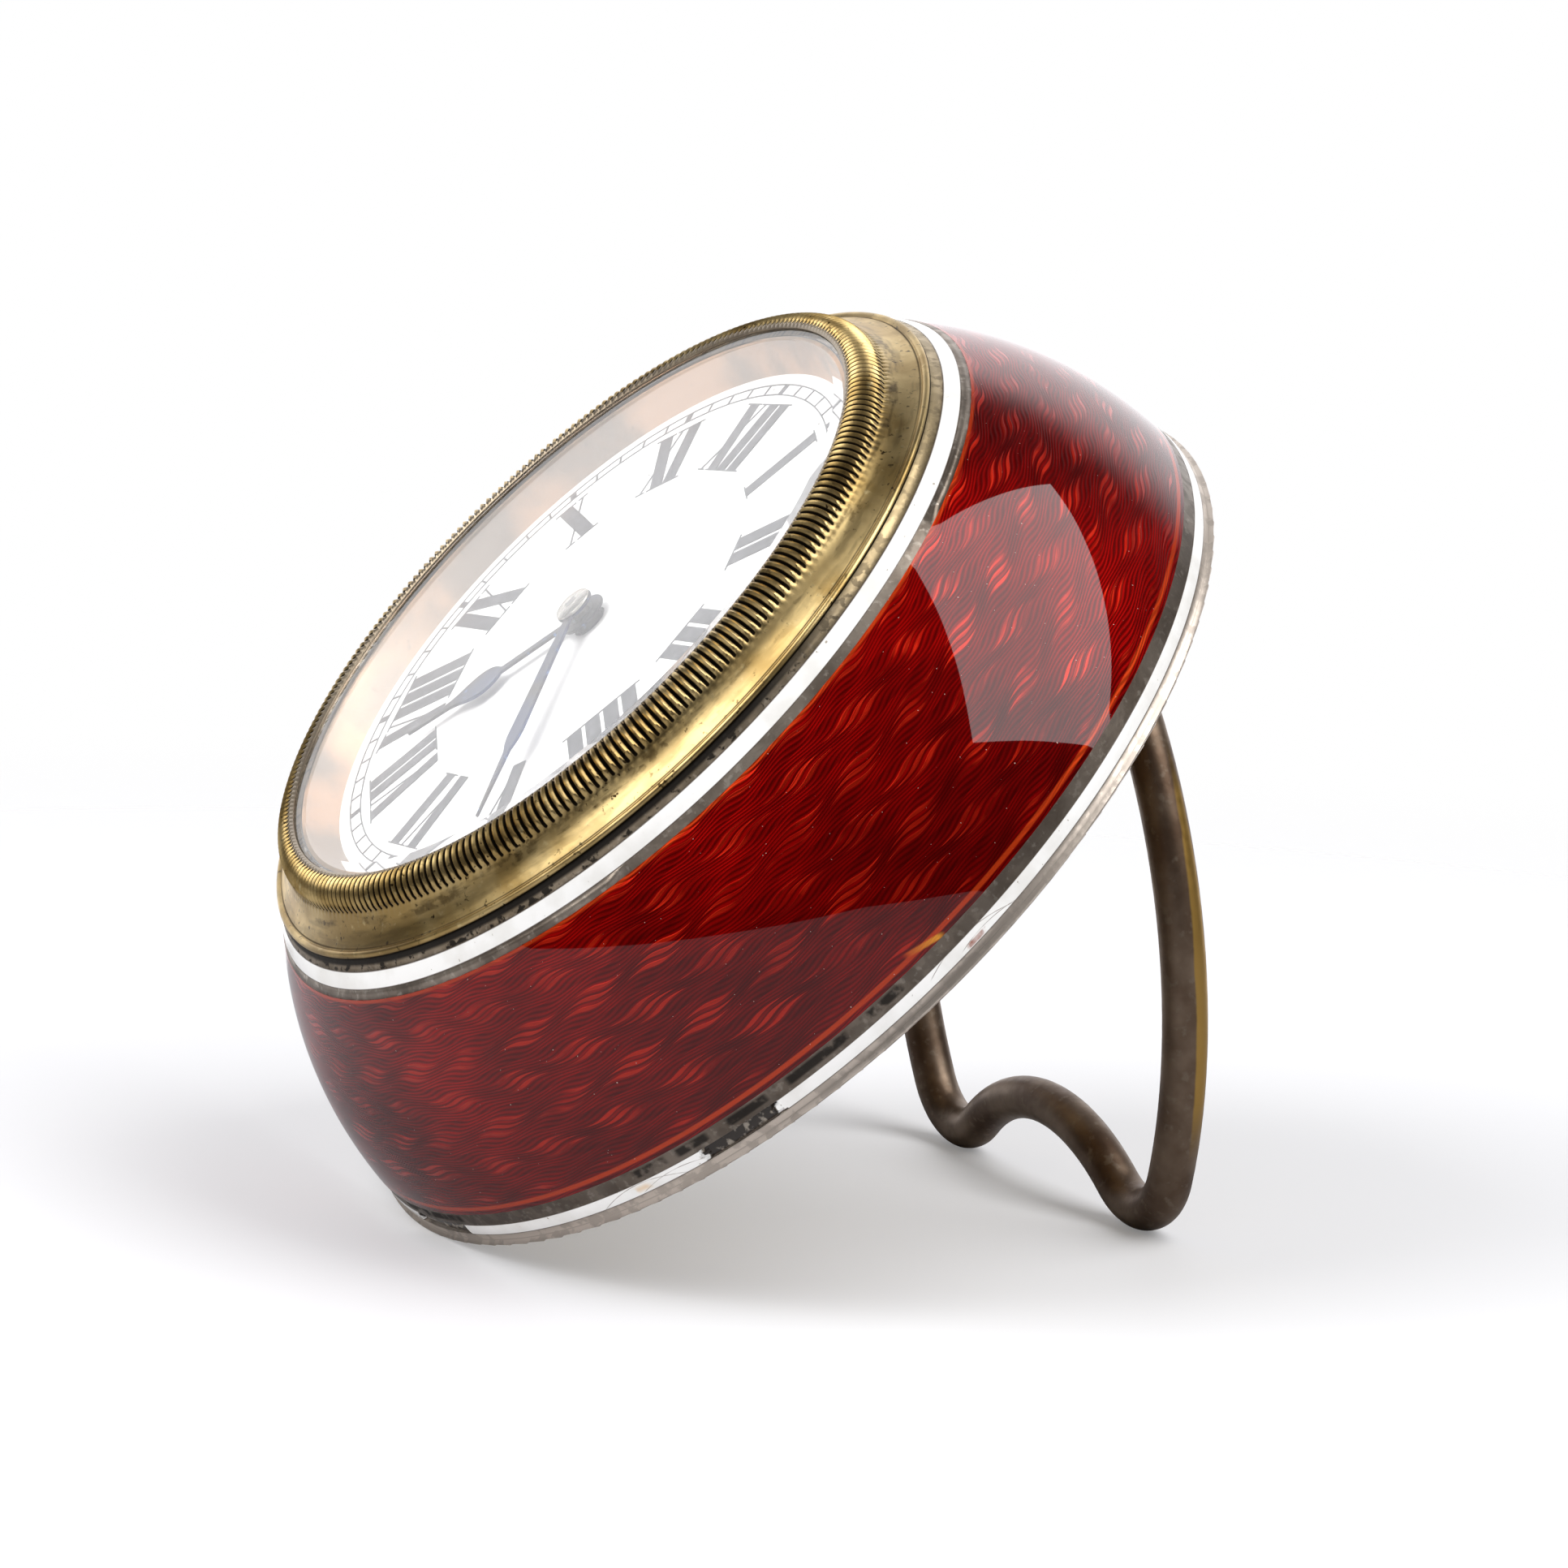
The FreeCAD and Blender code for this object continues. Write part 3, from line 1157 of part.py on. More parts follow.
def make_ratchet(x, y):
    """A saw-toothed wheel on the winding arbor."""
    outer = dim.ratchet_radius.value
    inner = outer - dim.ratchet_tooth.value
    count = int(dim.ratchet_teeth.value)
    points = []
    for i in range(count):
        points.append(spun(Vector(outer, 0, 0), 360 * i / count))
        points.append(spun(Vector(inner, 0, 0), 360 * (i + 0.08) / count))
    wheel = flat_face(points).extrude(FORWARD * dim.ratchet_thickness.value)
    wheel = wheel.cut(Part.makeCylinder(dim.barrel_arbor_radius.value, dim.ratchet_thickness.value))
    wheel.translate(Vector(x.value, y.value, ratchet_low().value))
    finish(shaped("ratchet", wheel), "ratchet_wheel")


def click_place():
    x = dim.barrel_x + dim.click_distance * cosine(dim.click_bearing)
    y = dim.barrel_y + dim.click_distance * sine(dim.click_bearing)
    return x, y


def make_click():
    """The pawl that keeps the winding arbor from running back, and its screw."""
    x, y = click_place()
    low = ratchet_low()
    thickness = dim.ratchet_thickness
    hub = dim.click_hub.value
    tip_gap = dim.ratchet_radius.value + dim.layer_gap.value
    tip = Vector(-dim.click_distance.value, 0, 0) + spun(Vector(tip_gap, 0, 0), -25)
    side = Vector(-0.2 * hub, -0.95 * hub, 0)
    arm = flat_face([Vector(-0.75 * hub, 0.3 * hub, 0), tip, side])
    solid = arm.extrude(FORWARD * thickness.value)
    solid = solid.fuse(Part.makeCylinder(hub, thickness.value))
    bore = dim.pivot_radius.value + dim.running_clearance.value
    solid = solid.cut(Part.makeCylinder(bore, thickness.value))
    solid.rotate(NOWHERE, FORWARD, dim.click_bearing.value)
    solid.translate(Vector(x.value, y.value, low.value))
    finish(shaped("pawl", solid), "click")
    pin_low = low - dim.running_clearance
    pin = rod("click_pin", dim.pivot_radius, pin_low, dim.train_plate_low + dim.pivot_bite - pin_low, x, y)
    cap = rod("click_head", dim.click_hub * 0.7, pin_low - dim.click_cap, dim.click_cap, x, y)
    finish(joined("click_fixing", [cap, pin]), "click_screw")


def centre_phase():
    return 0.0


def intermediate_phase():
    back = dim.intermediate_bearing
    return meeting_phase(centre_phase(), dim.centre_pinion_teeth, back, dim.intermediate_teeth)


def barrel_phase():
    return meeting_phase(0.0, dim.intermediate_pinion_teeth, dim.barrel_bearing, dim.barrel_teeth)


def mobile(name, x, y, wheel, pinion, label):
    """A wheel and pinion on one arbor. Each is (teeth, module, height, thickness, phase)."""
    bore = dim.pivot_radius
    rim = gear(name + "_rim", *wheel, x, y, bore, 5)
    leaves = gear(name + "_leaves", *pinion, x, y, bore)
    finish(grouped(name + "_mobile", [rim, leaves, between_plates(name, bore, x, y)]), label)


def make_centre_wheel():
    """The centre wheel and its pinion, which turn on the centre arbor with a little friction."""
    zero = as_size(0)
    thin = dim.wheel_thickness
    bore = dim.arbor_radius + dim.running_clearance
    rim = gear("centre_rim", dim.centre_teeth, dim.centre_module, dim.train_wheel_two, thin, 0.0,
               zero, zero, bore, 5)
    pinion_low = centred_on(dim.train_wheel_one, thin)
    leaves = gear("centre_leaves", dim.centre_pinion_teeth, dim.intermediate_module, pinion_low,
                  dim.leaf_height, centre_phase(), zero, zero, bore)
    hub_low = pinion_low + dim.leaf_height
    hub = sheet_metal("centre_hub", hub_low, dim.train_wheel_two - hub_low, circles=[
        (zero, zero, bore + dim.hour_pipe_wall), (zero, zero, bore)])
    finish(grouped("centre_mobile", [rim, leaves, hub]), "centre_wheel")


def centred_on(height, thickness):
    """Low side of a pinion whose middle is level with a wheel's middle."""
    return height + thickness / 2 - dim.leaf_height / 2


def make_train():
    """The wheels from the intermediate wheel to the escape wheel."""
    thin = dim.wheel_thickness
    leaf = dim.leaf_height
    mobile("intermediate", dim.intermediate_x, dim.intermediate_y,
           (dim.intermediate_teeth, dim.intermediate_module, dim.train_wheel_one, thin, intermediate_phase()),
           (dim.intermediate_pinion_teeth, dim.barrel_module,
            centred_on(dim.barrel_floor_low, dim.barrel_floor), leaf, 0.0),
           "intermediate_wheel")
    make_centre_wheel()
    phase = meeting_phase(0.0, dim.centre_teeth, dim.third_bearing, dim.third_pinion_teeth)
    mobile("third", dim.third_x, dim.third_y,
           (dim.third_teeth, dim.third_module, dim.train_wheel_three, thin, 0.0),
           (dim.third_pinion_teeth, dim.centre_module, centred_on(dim.train_wheel_two, thin), leaf, phase),
           "third_wheel")
    phase = meeting_phase(0.0, dim.third_teeth, dim.fourth_bearing, dim.fourth_pinion_teeth)
    mobile("fourth", dim.fourth_x, dim.fourth_y,
           (dim.fourth_teeth, dim.fourth_module, dim.train_wheel_four, thin, 0.0),
           (dim.fourth_pinion_teeth, dim.third_module, centred_on(dim.train_wheel_three, thin), leaf, phase),
           "fourth_wheel")
    phase = meeting_phase(0.0, dim.fourth_teeth, dim.escape_bearing, dim.escape_pinion_teeth)
    bore = dim.pivot_radius
    leaves = gear("escape_leaves", dim.escape_pinion_teeth, dim.fourth_module,
                  centred_on(dim.train_wheel_four, thin), leaf, phase, dim.escape_x, dim.escape_y, bore)
    arbor = between_plates("escape", bore, dim.escape_x, dim.escape_y)
    finish(grouped("escape_mobile", [escape_rim(), leaves, arbor]), "escape_wheel")


def escape_rim():
    """The escape wheel: pointed teeth that lean the way it turns."""
    count = int(dim.escape_teeth.value)
    outer = dim.escape_radius.value
    tooth_shares = ((0.72, 0.0), (0.74, 0.45), (1.0, 0.9), (1.0, 0.97))
    points = []
    for i in range(count):
        for radius_share, turn_share in tooth_shares:
            points.append(spun(Vector(outer * radius_share, 0, 0), 360 * (i + turn_share) / count))
    wires = [Part.makePolygon(points + points[:1]), round_wire(dim.pivot_radius.value, NOWHERE)]
    face = Part.makeFace(wires, "Part::FaceMakerBullseye")
    wheel = face.extrude(FORWARD * dim.wheel_thickness.value)
    wheel.translate(Vector(dim.escape_x.value, dim.escape_y.value, dim.escape_height.value))
    return shaped("escape_rim", wheel)


def make_escapement():
    """Pallet lever, balance wheel, hairspring and its stud."""
    x, y = dim.pallet_x, dim.pallet_y
    reach = dim.pallet_reach.value
    drop = dim.pallet_drop.value
    width = dim.pallet_width.value
    fork = dim.lever_length.value
    anchor = flat_face([
        Vector(-width / 2, reach, 0), Vector(-drop, reach, 0), Vector(-drop, reach - width, 0),
        Vector(-width / 2, width, 0), Vector(-width / 2, -width, 0), Vector(-drop, width - reach, 0),
        Vector(-drop, -reach, 0), Vector(-width / 2, -reach, 0), Vector(width / 2, -width, 0),
        Vector(fork, -width / 2, 0), Vector(fork, width / 2, 0), Vector(width / 2, width, 0),
    ])
    lever = anchor.extrude(FORWARD * dim.wheel_thickness.value)
    lever.rotate(NOWHERE, FORWARD, dim.balance_bearing.value)
    lever.translate(Vector(x.value, y.value, dim.escape_height.value))
    arbor = between_plates("pallet", dim.pivot_radius, x, y)
    finish(joined("pallets", [shaped("anchor", lever), arbor]), "pallet_lever")
    x, y = dim.balance_x, dim.balance_y
    rim_inner = dim.balance_radius - dim.balance_rim
    rim = sheet_metal("balance_ring", dim.balance_height, dim.balance_rim,
                      circles=[(x, y, dim.balance_radius), (x, y, rim_inner)])
    arm = block("balance_arm", rim_inner * 2 + dim.balance_rim, dim.balance_rim, dim.balance_rim,
                x - rim_inner - dim.balance_rim / 2, y - dim.balance_rim / 2, dim.balance_height)
    roller = rod("balance_roller", dim.roller_radius, dim.escape_height, dim.wheel_thickness, x, y)
    staff = between_plates("balance", dim.pivot_radius, x, y)
    finish(joined("balance", [rim, arm, roller, staff]), "balance_wheel")
    ribbon = spiral("hairspring_ribbon", dim.hairspring_inner, dim.hairspring_outer, dim.hairspring_turns,
                    dim.hairspring_strip, dim.hairspring_height, dim.hairspring_width, x, y)
    collar = sheet_metal("hairspring_collet", dim.hairspring_height, dim.hairspring_width, circles=[
        (x, y, dim.hairspring_inner - dim.hairspring_strip / 2), (x, y, dim.pivot_radius)])
    finish(grouped("spring_and_collet", [ribbon, collar]), "hairspring")
    stud_place = dim.hairspring_outer + dim.stud_radius + dim.layer_gap
    stud = rod("stud", dim.stud_radius, dim.hairspring_height, dim.main_plate_low - dim.hairspring_height,
               x + stud_place, y)
    finish(grouped("hairspring_post", [stud]), "hairspring_stud")


def make_regulator():
    """A ring round the balance's boss with an arm whose tip shows through the back."""
    x, y = dim.balance_x, dim.balance_y
    low = ratchet_low()
    bore = dim.regulator_post + dim.running_clearance
    ring_radius = bore + dim.regulator_rim
    ring = rod("regulator_ring", ring_radius, low, dim.ratchet_thickness, x, y)
    arm = block("regulator_arm", dim.regulator_length, dim.regulator_width, dim.ratchet_thickness,
                x, y - dim.regulator_width / 2, low)
    tip_low = dim.recess_depth - dim.layer_gap * 3
    tip = block("regulator_tip", dim.regulator_width, dim.regulator_width, low - tip_low + dim.ratchet_thickness,
                x + dim.regulator_length - dim.regulator_width, y - dim.regulator_width / 2, tip_low)
    hole = rod("regulator_bore", bore, low, dim.ratchet_thickness, x, y)
    finish(without("regulator_lever", joined("regulator_blank", [ring, arm, tip]), [hole]), "regulator")


def make_back():
    """The gilt back plate and its screws."""
    zero = as_size(0)
    radius = dim.recess_radius - dim.back_clearance
    screw_places = list(around(dim.back_screw_count, dim.back_screw_start, dim.back_screw_place))
    holes = [(x, y, dim.back_screw_radius) for x, y in screw_places]
    holes += [(x, y, dim.bracket_screw_radius) for x, y in bracket_screw_places()]
    holes.append((dim.barrel_x, dim.barrel_y, dim.arbor_hole))
    holes.append((zero, zero, dim.arbor_radius + dim.layer_gap))
    slot_left = dim.balance_x + dim.regulator_length - dim.regulator_width - dim.layer_gap * 2
    slot_right = dim.balance_x + dim.regulator_length + dim.layer_gap * 2
    slot_low = dim.balance_y - dim.regulator_slot / 2
    slot_high = dim.balance_y + dim.regulator_slot / 2
    slot = [(slot_left, slot_low), (slot_right, slot_low), (slot_right, slot_high), (slot_left, slot_high)]
    plate = sheet_metal("rear_cover", dim.recess_depth, dim.back_thickness, loops=[slot],
                        circles=[(zero, zero, radius)] + holes)
    finish(plate, "back_plate")
    screws = []
    for x, y in screw_places:
        screws.append(screw("cover_screw", x, y, dim.recess_depth, -1, dim.back_screw_radius,
                            dim.back_thickness + dim.back_screw_bite,
                            dim.screw_head_radius, dim.screw_head_height))
    finish(grouped("cover_screws", screws), "back_screws")


def make_key():
    """The end of the winding arbor, with a folding bow on a cross pin."""
    x, y = dim.barrel_x, dim.barrel_y
    top = dim.recess_depth - dim.layer_gap
    low = top - dim.key_hub_height
    axis_height = key_axis_height()
    hub = rod("key_hub_blank", dim.key_hub_radius, low, dim.key_hub_height, x, y)
    seat = rod("key_hub_bore", dim.barrel_arbor_radius, top - dim.key_seat, dim.key_seat, x, y)
    half = dim.key_hub_radius + dim.layer_gap + dim.key_bow_width
    pin_hole = cross_rod("key_pin_hole", dim.key_pin_radius, x - half, half * 2, y, axis_height)
    finish(without("key_hub_turned", hub, [seat, pin_hole]), "key_hub")
    pin = cross_rod("key_pin_bar", dim.key_pin_radius, x - half, half * 2, y, axis_height)
    finish(grouped("key_pin_set", [pin]), "key_pin")
    make_bow(x, y, axis_height)


def key_axis_height():
    return dim.recess_depth - dim.layer_gap * 2 - dim.key_bow_section


def make_bow(x, y, axis_height):
    """A loop that straddles the hub and hangs down from the pin when folded."""
    inner = dim.key_hub_radius + dim.layer_gap
    outer = inner + dim.key_bow_width
    section = dim.key_bow_section
    low = axis_height - section / 2
    end = -dim.key_bow_length + outer
    loop = [
        (-outer, as_size(0)),
        (-outer, end),
        (outer, end, outer + dim.key_bow_width / 8, -1),
        (outer, as_size(0)),
        (inner, as_size(0)),
        (inner, end),
        (-inner, end, inner + dim.key_bow_width / 8, 1),
        (-inner, as_size(0)),
    ]
    moved = [(x + corner[0], y + corner[1]) + tuple(corner[2:]) for corner in loop]
    ring = sheet_metal("bow_ring", low, section, loops=[moved])
    eye_radius = section / 2 + dim.key_bow_width / 4
    left = cross_rod("bow_eye_left", eye_radius, x - outer, dim.key_bow_width, y, axis_height)
    right = cross_rod("bow_eye_right", eye_radius, x + inner, dim.key_bow_width, y, axis_height)
    bore = dim.key_pin_radius + dim.running_clearance
    hole = cross_rod("bow_bore", bore, x - outer, outer * 2, y, axis_height)
    finish(without("bow", joined("bow_blank", [ring, left, right]), [hole]), "key_bow")


def make_knob():
    """The hand setting knob on the rear end of the centre arbor."""
    outer = dim.knob_radius.value
    inner = outer - dim.knob_notch.value
    count = int(dim.knob_notches.value)
    points = []
    for i in range(count):
        points.append(spun(Vector(outer, 0, 0), 360 * (i - 0.2) / count))
        points.append(spun(Vector(outer, 0, 0), 360 * (i + 0.2) / count))
        points.append(spun(Vector(inner, 0, 0), 360 * (i + 0.5) / count))
    height = dim.knob_height.value
    knob = flat_face(points).extrude(FORWARD * height)
    knob = knob.cut(Part.makeCylinder(dim.arbor_radius.value, height))
    low = dim.recess_depth.value - dim.layer_gap.value - height
    knob.translate(FORWARD * low)
    finish(shaped("setting_knob", knob), "hand_set_knob")


def eye_middle():
    """Distance of a leg's eye from the middle of the strut."""
    rise = dim.strut_length - dim.eye_radius - dim.strut_widest
    sin_end = rise / (dim.strut_leg_arc + dim.strut_neck_arc)
    cos_end = root(1 - squared(sin_end))
    leg_centre = dim.strut_spread - dim.strut_leg_arc
    return leg_centre + (dim.strut_leg_arc + dim.strut_neck_arc) * cos_end - dim.strut_neck_arc


def bracket_screw_places():
    y = dim.strut_hinge_height - dim.bracket_screw_drop
    return [(-dim.bracket_screw_place, y), (dim.bracket_screw_place, y)]


def make_bracket():
    """The fixed half of the strut's hinge, its screws and its pin."""
    zero = as_size(0)
    eye = derive("strut_eye_place", eye_middle(), "eyes from the middle of the strut")
    barrel_half = eye - dim.eye_thickness / 2 - dim.layer_gap
    wide = eye + dim.eye_thickness / 2 + dim.layer_gap
    narrow = barrel_half - dim.layer_gap
    hinge = dim.strut_hinge_height
    low = dim.recess_depth - dim.bracket_thickness
    shelf = hinge - dim.hinge_barrel_radius / 2
    outline = [
        (-narrow, hinge - dim.bracket_drop), (narrow, hinge - dim.bracket_drop), (narrow, shelf),
        (wide, shelf), (wide, hinge + dim.bracket_rise), (-wide, hinge + dim.bracket_rise),
        (-wide, shelf), (-narrow, shelf),
    ]
    holes = [(x, y, dim.bracket_screw_radius) for x, y in bracket_screw_places()]
    plate = sheet_metal("bracket_plate", low, dim.bracket_thickness, loops=[outline], circles=holes)
    axis_height = dim.hinge_axis_height
    barrel = cross_rod("bracket_barrel", dim.hinge_barrel_radius, -barrel_half, barrel_half * 2, hinge, axis_height)
    web = block("bracket_web", barrel_half * 2, dim.hinge_barrel_radius * 2, dim.hinge_axis_lift,
                -barrel_half, hinge - dim.hinge_barrel_radius, axis_height)
    bore = cross_rod("bracket_bore", dim.hinge_pin_radius, -barrel_half, barrel_half * 2, hinge, axis_height)
    finish(without("bracket", joined("bracket_blank", [plate, web, barrel]), [bore]), "strut_bracket")
    screws = []
    for x, y in bracket_screw_places():
        length = dim.bracket_thickness + dim.back_thickness
        screws.append(screw("bracket_screw", x, y, low, -1, dim.bracket_screw_radius, length,
                            dim.screw_head_radius * 0.9, dim.screw_head_height))
    finish(grouped("hinge_screws", screws), "bracket_screws")
    pin_half = eye + dim.eye_thickness / 2 + dim.layer_gap
    shaft = cross_rod("hinge_shaft", dim.hinge_pin_radius, -pin_half, pin_half * 2, hinge, axis_height)
    head_length = dim.hinge_pin_head_length
    left = cross_rod("hinge_head_left", dim.hinge_pin_head, -pin_half - head_length, head_length, hinge, axis_height)
    right = cross_rod("hinge_head_right", dim.hinge_pin_head, pin_half, head_length, hinge, axis_height)
    finish(joined("hinge_pin", [shaft, left, right]), "strut_pin")


def strut_route():
    """Half of the wire's centre line, from the middle hump to one eye, feet at zero."""
    foot_x, foot_arc = dim.strut_foot_place, dim.strut_foot_arc
    hump_arc = (squared(foot_x) + squared(foot_arc - dim.strut_hump) - squared(foot_arc)) / (dim.strut_hump * 2)
    ratio = hump_arc / (hump_arc + foot_arc)
    hump_low = dim.strut_hump - hump_arc
    leg_x = dim.strut_spread - dim.strut_leg_arc
    leg_y = dim.strut_widest
    reach = dim.strut_leg_arc / (dim.strut_leg_arc - foot_arc)
    rise = dim.strut_length - dim.eye_radius - leg_y
    sin_end = rise / (dim.strut_leg_arc + dim.strut_neck_arc)
    cos_end = root(1 - squared(sin_end))
    return [
        (as_size(0), dim.strut_hump),
        (foot_x * ratio, hump_low + (foot_arc - hump_low) * ratio, hump_arc, 1),
        (leg_x + (foot_x - leg_x) * reach, leg_y + (foot_arc - leg_y) * reach, foot_arc, -1),
        (leg_x + dim.strut_leg_arc * cos_end, leg_y + dim.strut_leg_arc * sin_end, dim.strut_leg_arc, -1),
        (eye_middle(), leg_y + rise, dim.strut_neck_arc, 1),
        (eye_middle(), dim.strut_length),
    ]


def strut_wire(name, side):
    """One half of the bent wire, in the strut's plane with its hinge axis at zero."""
    body = doc.addObject("PartDesign::Body", name)
    route = []
    for corner in strut_route():
        arc = (corner[2], corner[3] * side) if len(corner) > 2 else ()
        route.append((corner[0] * side, corner[1] - dim.strut_length) + arc)
    path = draw(body, name + "_route", "XY_Plane", [route], closed=False)
    section = draw(body, name + "_section", "YZ_Plane", [],
                   [(dim.strut_hump - dim.strut_length, as_size(0), dim.strut_wire)])
    pipe = body.newObject("PartDesign::AdditivePipe", name + "_pipe")
    pipe.Profile = section
    pipe.Spine = path
    return body


def make_strut():
    """The strut: bent wire, flattened eyes and the heels that stop it when open."""
    eye = dim.strut_eye_place
    parts = [strut_wire("strut_right", 1), strut_wire("strut_left", -1)]
    opening = Rotation(ACROSS * -1, dim.strut_opening.value)
    for side in (-1, 1):
        start = eye * side - dim.eye_thickness / 2
        zero = as_size(0)
        parts.append(cross_rod("strut_eye", dim.eye_radius, start, dim.eye_thickness, zero, zero))
        heel = doc.addObject("Part::Box", "strut_heel")
        heel.setExpression("Length", dim.eye_thickness.text)
        heel.setExpression("Width", dim.heel_length.text)
        heel.setExpression("Height", (dim.hinge_axis_lift - dim.heel_play).text)
        heel.Placement = Placement(Vector(start.value, 0, 0), opening)
        heel.setExpression("Placement.Base.x", start.text)
        heel.setExpression("Placement.Rotation.Angle", dim.strut_opening.text)
        heel.Placement = Placement(Vector(start.value, 0, 0), opening)
        parts.append(heel)
    reach = eye + dim.eye_thickness
    bore = cross_rod("strut_bore", dim.hinge_pin_radius + dim.running_clearance, -reach, reach * 2,
                     as_size(0), as_size(0))
    strut = without("strut_bored", joined("strut_blank", parts), [bore])
    strut.Label = "strut"
    pieces.append(strut)
    turn = dim.lean_angle + dim.strut_opening
    sin_lean, cos_lean = sine(dim.lean_angle), cosine(dim.lean_angle)
    hinge, lift = dim.strut_hinge_height, dim.hinge_axis_height
    strut.Placement = Placement(NOWHERE, Rotation(ACROSS, turn.value))
    strut.setExpression("Placement.Rotation.Angle", turn.text)
    strut.setExpression("Placement.Base.y", (dim.stand_shift + hinge * cos_lean - lift * sin_lean).text)
    strut.setExpression("Placement.Base.z", (dim.stand_lift + hinge * sin_lean + lift * cos_lean).text)


def build():
    derive_case()
    derive_stand()
    derive_train()
    make_case()
    make_enamel()
    make_bezel()
    make_glass()
    make_sight_ring()
    make_dial()
    make_markings()
    make_hands()
    make_motion_work()
    make_plates()
    make_barrel()
    make_click()
    make_train()
    make_escapement()
    make_regulator()
    make_bracket()
    make_back()
    make_key()
    make_knob()
    make_strut()
    doc.recompute()


def write_pieces():
    """Checks every feature and writes each piece to its own file."""
    for item in doc.Objects:
        if "Invalid" in item.State or "Error" in item.State:
            raise RuntimeError(f"{item.Name} failed: {item.State}")
    os.makedirs("parts", exist_ok=True)
    for piece in pieces:
        if piece.Shape.isNull() or not piece.Shape.isValid():
            raise RuntimeError(f"{piece.Label} has no sound shape")
        piece.Shape.exportStep(f"parts/{piece.Label}.step")


build()
write_pieces()
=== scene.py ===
# A small round strut clock in tarnished silver, red enamel over engine turning and gilt brass.
# The render's pieces are turned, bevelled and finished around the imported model.
import json
import math

import bmesh
import bpy
from mathutils import Matrix, Vector, noise


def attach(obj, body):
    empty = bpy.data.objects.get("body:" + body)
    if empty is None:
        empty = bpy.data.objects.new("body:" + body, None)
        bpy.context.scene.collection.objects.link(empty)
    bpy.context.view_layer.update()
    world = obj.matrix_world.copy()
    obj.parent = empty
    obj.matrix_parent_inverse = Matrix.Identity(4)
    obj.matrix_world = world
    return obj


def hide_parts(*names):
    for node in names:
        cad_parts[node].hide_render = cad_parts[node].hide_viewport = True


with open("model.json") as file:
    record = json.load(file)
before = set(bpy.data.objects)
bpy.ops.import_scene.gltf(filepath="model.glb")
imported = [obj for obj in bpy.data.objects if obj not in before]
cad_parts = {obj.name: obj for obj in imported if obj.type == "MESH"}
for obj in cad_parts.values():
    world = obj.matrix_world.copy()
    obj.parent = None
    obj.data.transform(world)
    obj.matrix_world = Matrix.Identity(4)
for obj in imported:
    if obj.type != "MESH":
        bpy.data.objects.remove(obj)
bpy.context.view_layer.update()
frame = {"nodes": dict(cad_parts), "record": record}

BODIES = frame["record"]["behaviour"]["bodies"]
MM = 0.001

# Turned pieces are drawn in millimetres around the dial's axis, up from the back rim, and then leant back.
LEAN = math.radians(47.5)
STAND = Vector((0, 4.9042, 29.3672)) * MM
TO_STAND = Matrix.Translation(STAND) @ Matrix.Rotation(LEAN, 4, "X") @ Matrix.Scale(MM, 4)
SLACK = 0.01

# Corners of the case's section, each as distance from the axis and height.
WALL_FOOT = (39.7, 0.45)
DOME_FOOT = (39.54, 3.1)
DOME_TOP = (32.79, 18.46)
SHOULDER_TOP = (30.95, 20.7)
DOME_RADIUS = 29.2

# Enamel: its depth, the swell of the stripes, their edges and the steps across them.
ENAMEL_DEPTH = 0.45
FRONT_STRIPE_RADII = (32.33, 31.51)
FRONT_STRIPE_SWELL = 0.05
RIM_STRIPE_HEIGHTS = (1.0, 2.0)
RIM_STRIPE_SWELL = 0.04
RIM_STRIPE_FLOOR = 39.25
STRIPE_STEPS = 6

# Bezel: the ends of its milled shoulder and its ridges.
WAIST = (28.51, 22.86)
CROWN = (26.76, 24.55)
RIDGES = 270
RIDGE_DEPTH = 0.34
RIDGE_END = 28.545
RIDGE_FADE = 0.105

# Engine turning: rows of flames, each row half a period aside of the next, with fine waves between them.
FLAME_PERIOD = 360 / 38
FLAME_START = 116.0
FLAME_LEAN = 3.0
FLAME_ROW = 2.58
FLAME_FIRST_ROW = 2.84
STROKE_PITCH = 0.42
STROKE_REACH = 3.9
STROKE_WIDTH = 0.1
WAVE_RISE = 0.17
WAVE_PITCH = 0.26
LAST_ROW = 15.1
ROW_REMAINS = (15.58, 15.88)

# Wear, and the painted shade under the bezel, on the side that faces the camera, in degrees clockwise from
# XII, heights and radii.
CHIPS = ((121.6, 130.8), (167.0, 178.0))
CHIP_DEPTH = 0.22
CHIP_RAGGED = 1.2
CHIP_GRAIN = 1.6
# Each crack: the degrees and height of its top, and the degrees between which it runs.
CRACKS = ((97.5, 2.1, 90.0, 102.0), (95.3, 1.55, 91.0, 98.0), (139.0, 1.9, 133.0, 144.5),
          (134.5, 1.7, 131.0, 139.0))
CRACK_BEND = 0.028
CRACK_HALF = 0.02
STAIN_DEGREES = (137.6, 140.0)
STAIN_HEIGHTS = (1.3, 1.7)
BRUISE_DEGREES = (95.0, 97.4)
BRUISE_HEIGHTS = (1.1, 1.45)
DROP_DEGREES = (98.4, 102.2)
DROP_SLOPE = -0.18
DROP_BAND = (-14.66, -14.3)
PATCH_DEGREES = ((104.5, 109.5), (111.5, 119.0), (121.5, 126.5), (129.0, 133.0), (134.5, 138.5),
                 (166.0, 179.0))
PATCH_HEIGHTS = (2.3, 2.95)
WALL_STRIP = (1.9, 3.3)
WALL_OUTSIDE = (39.0, 39.2)
DIRT_AND_SHADE_DEGREES = (80.0, 250.0)
RUBBED_WAY = (0.9, 0.43)
RUBBED_HEIGHTS = (9 * MM, 36 * MM)

# A noise pattern's grains are about this share of its unit wide: its scale is this over their width.
GRAIN = 0.6

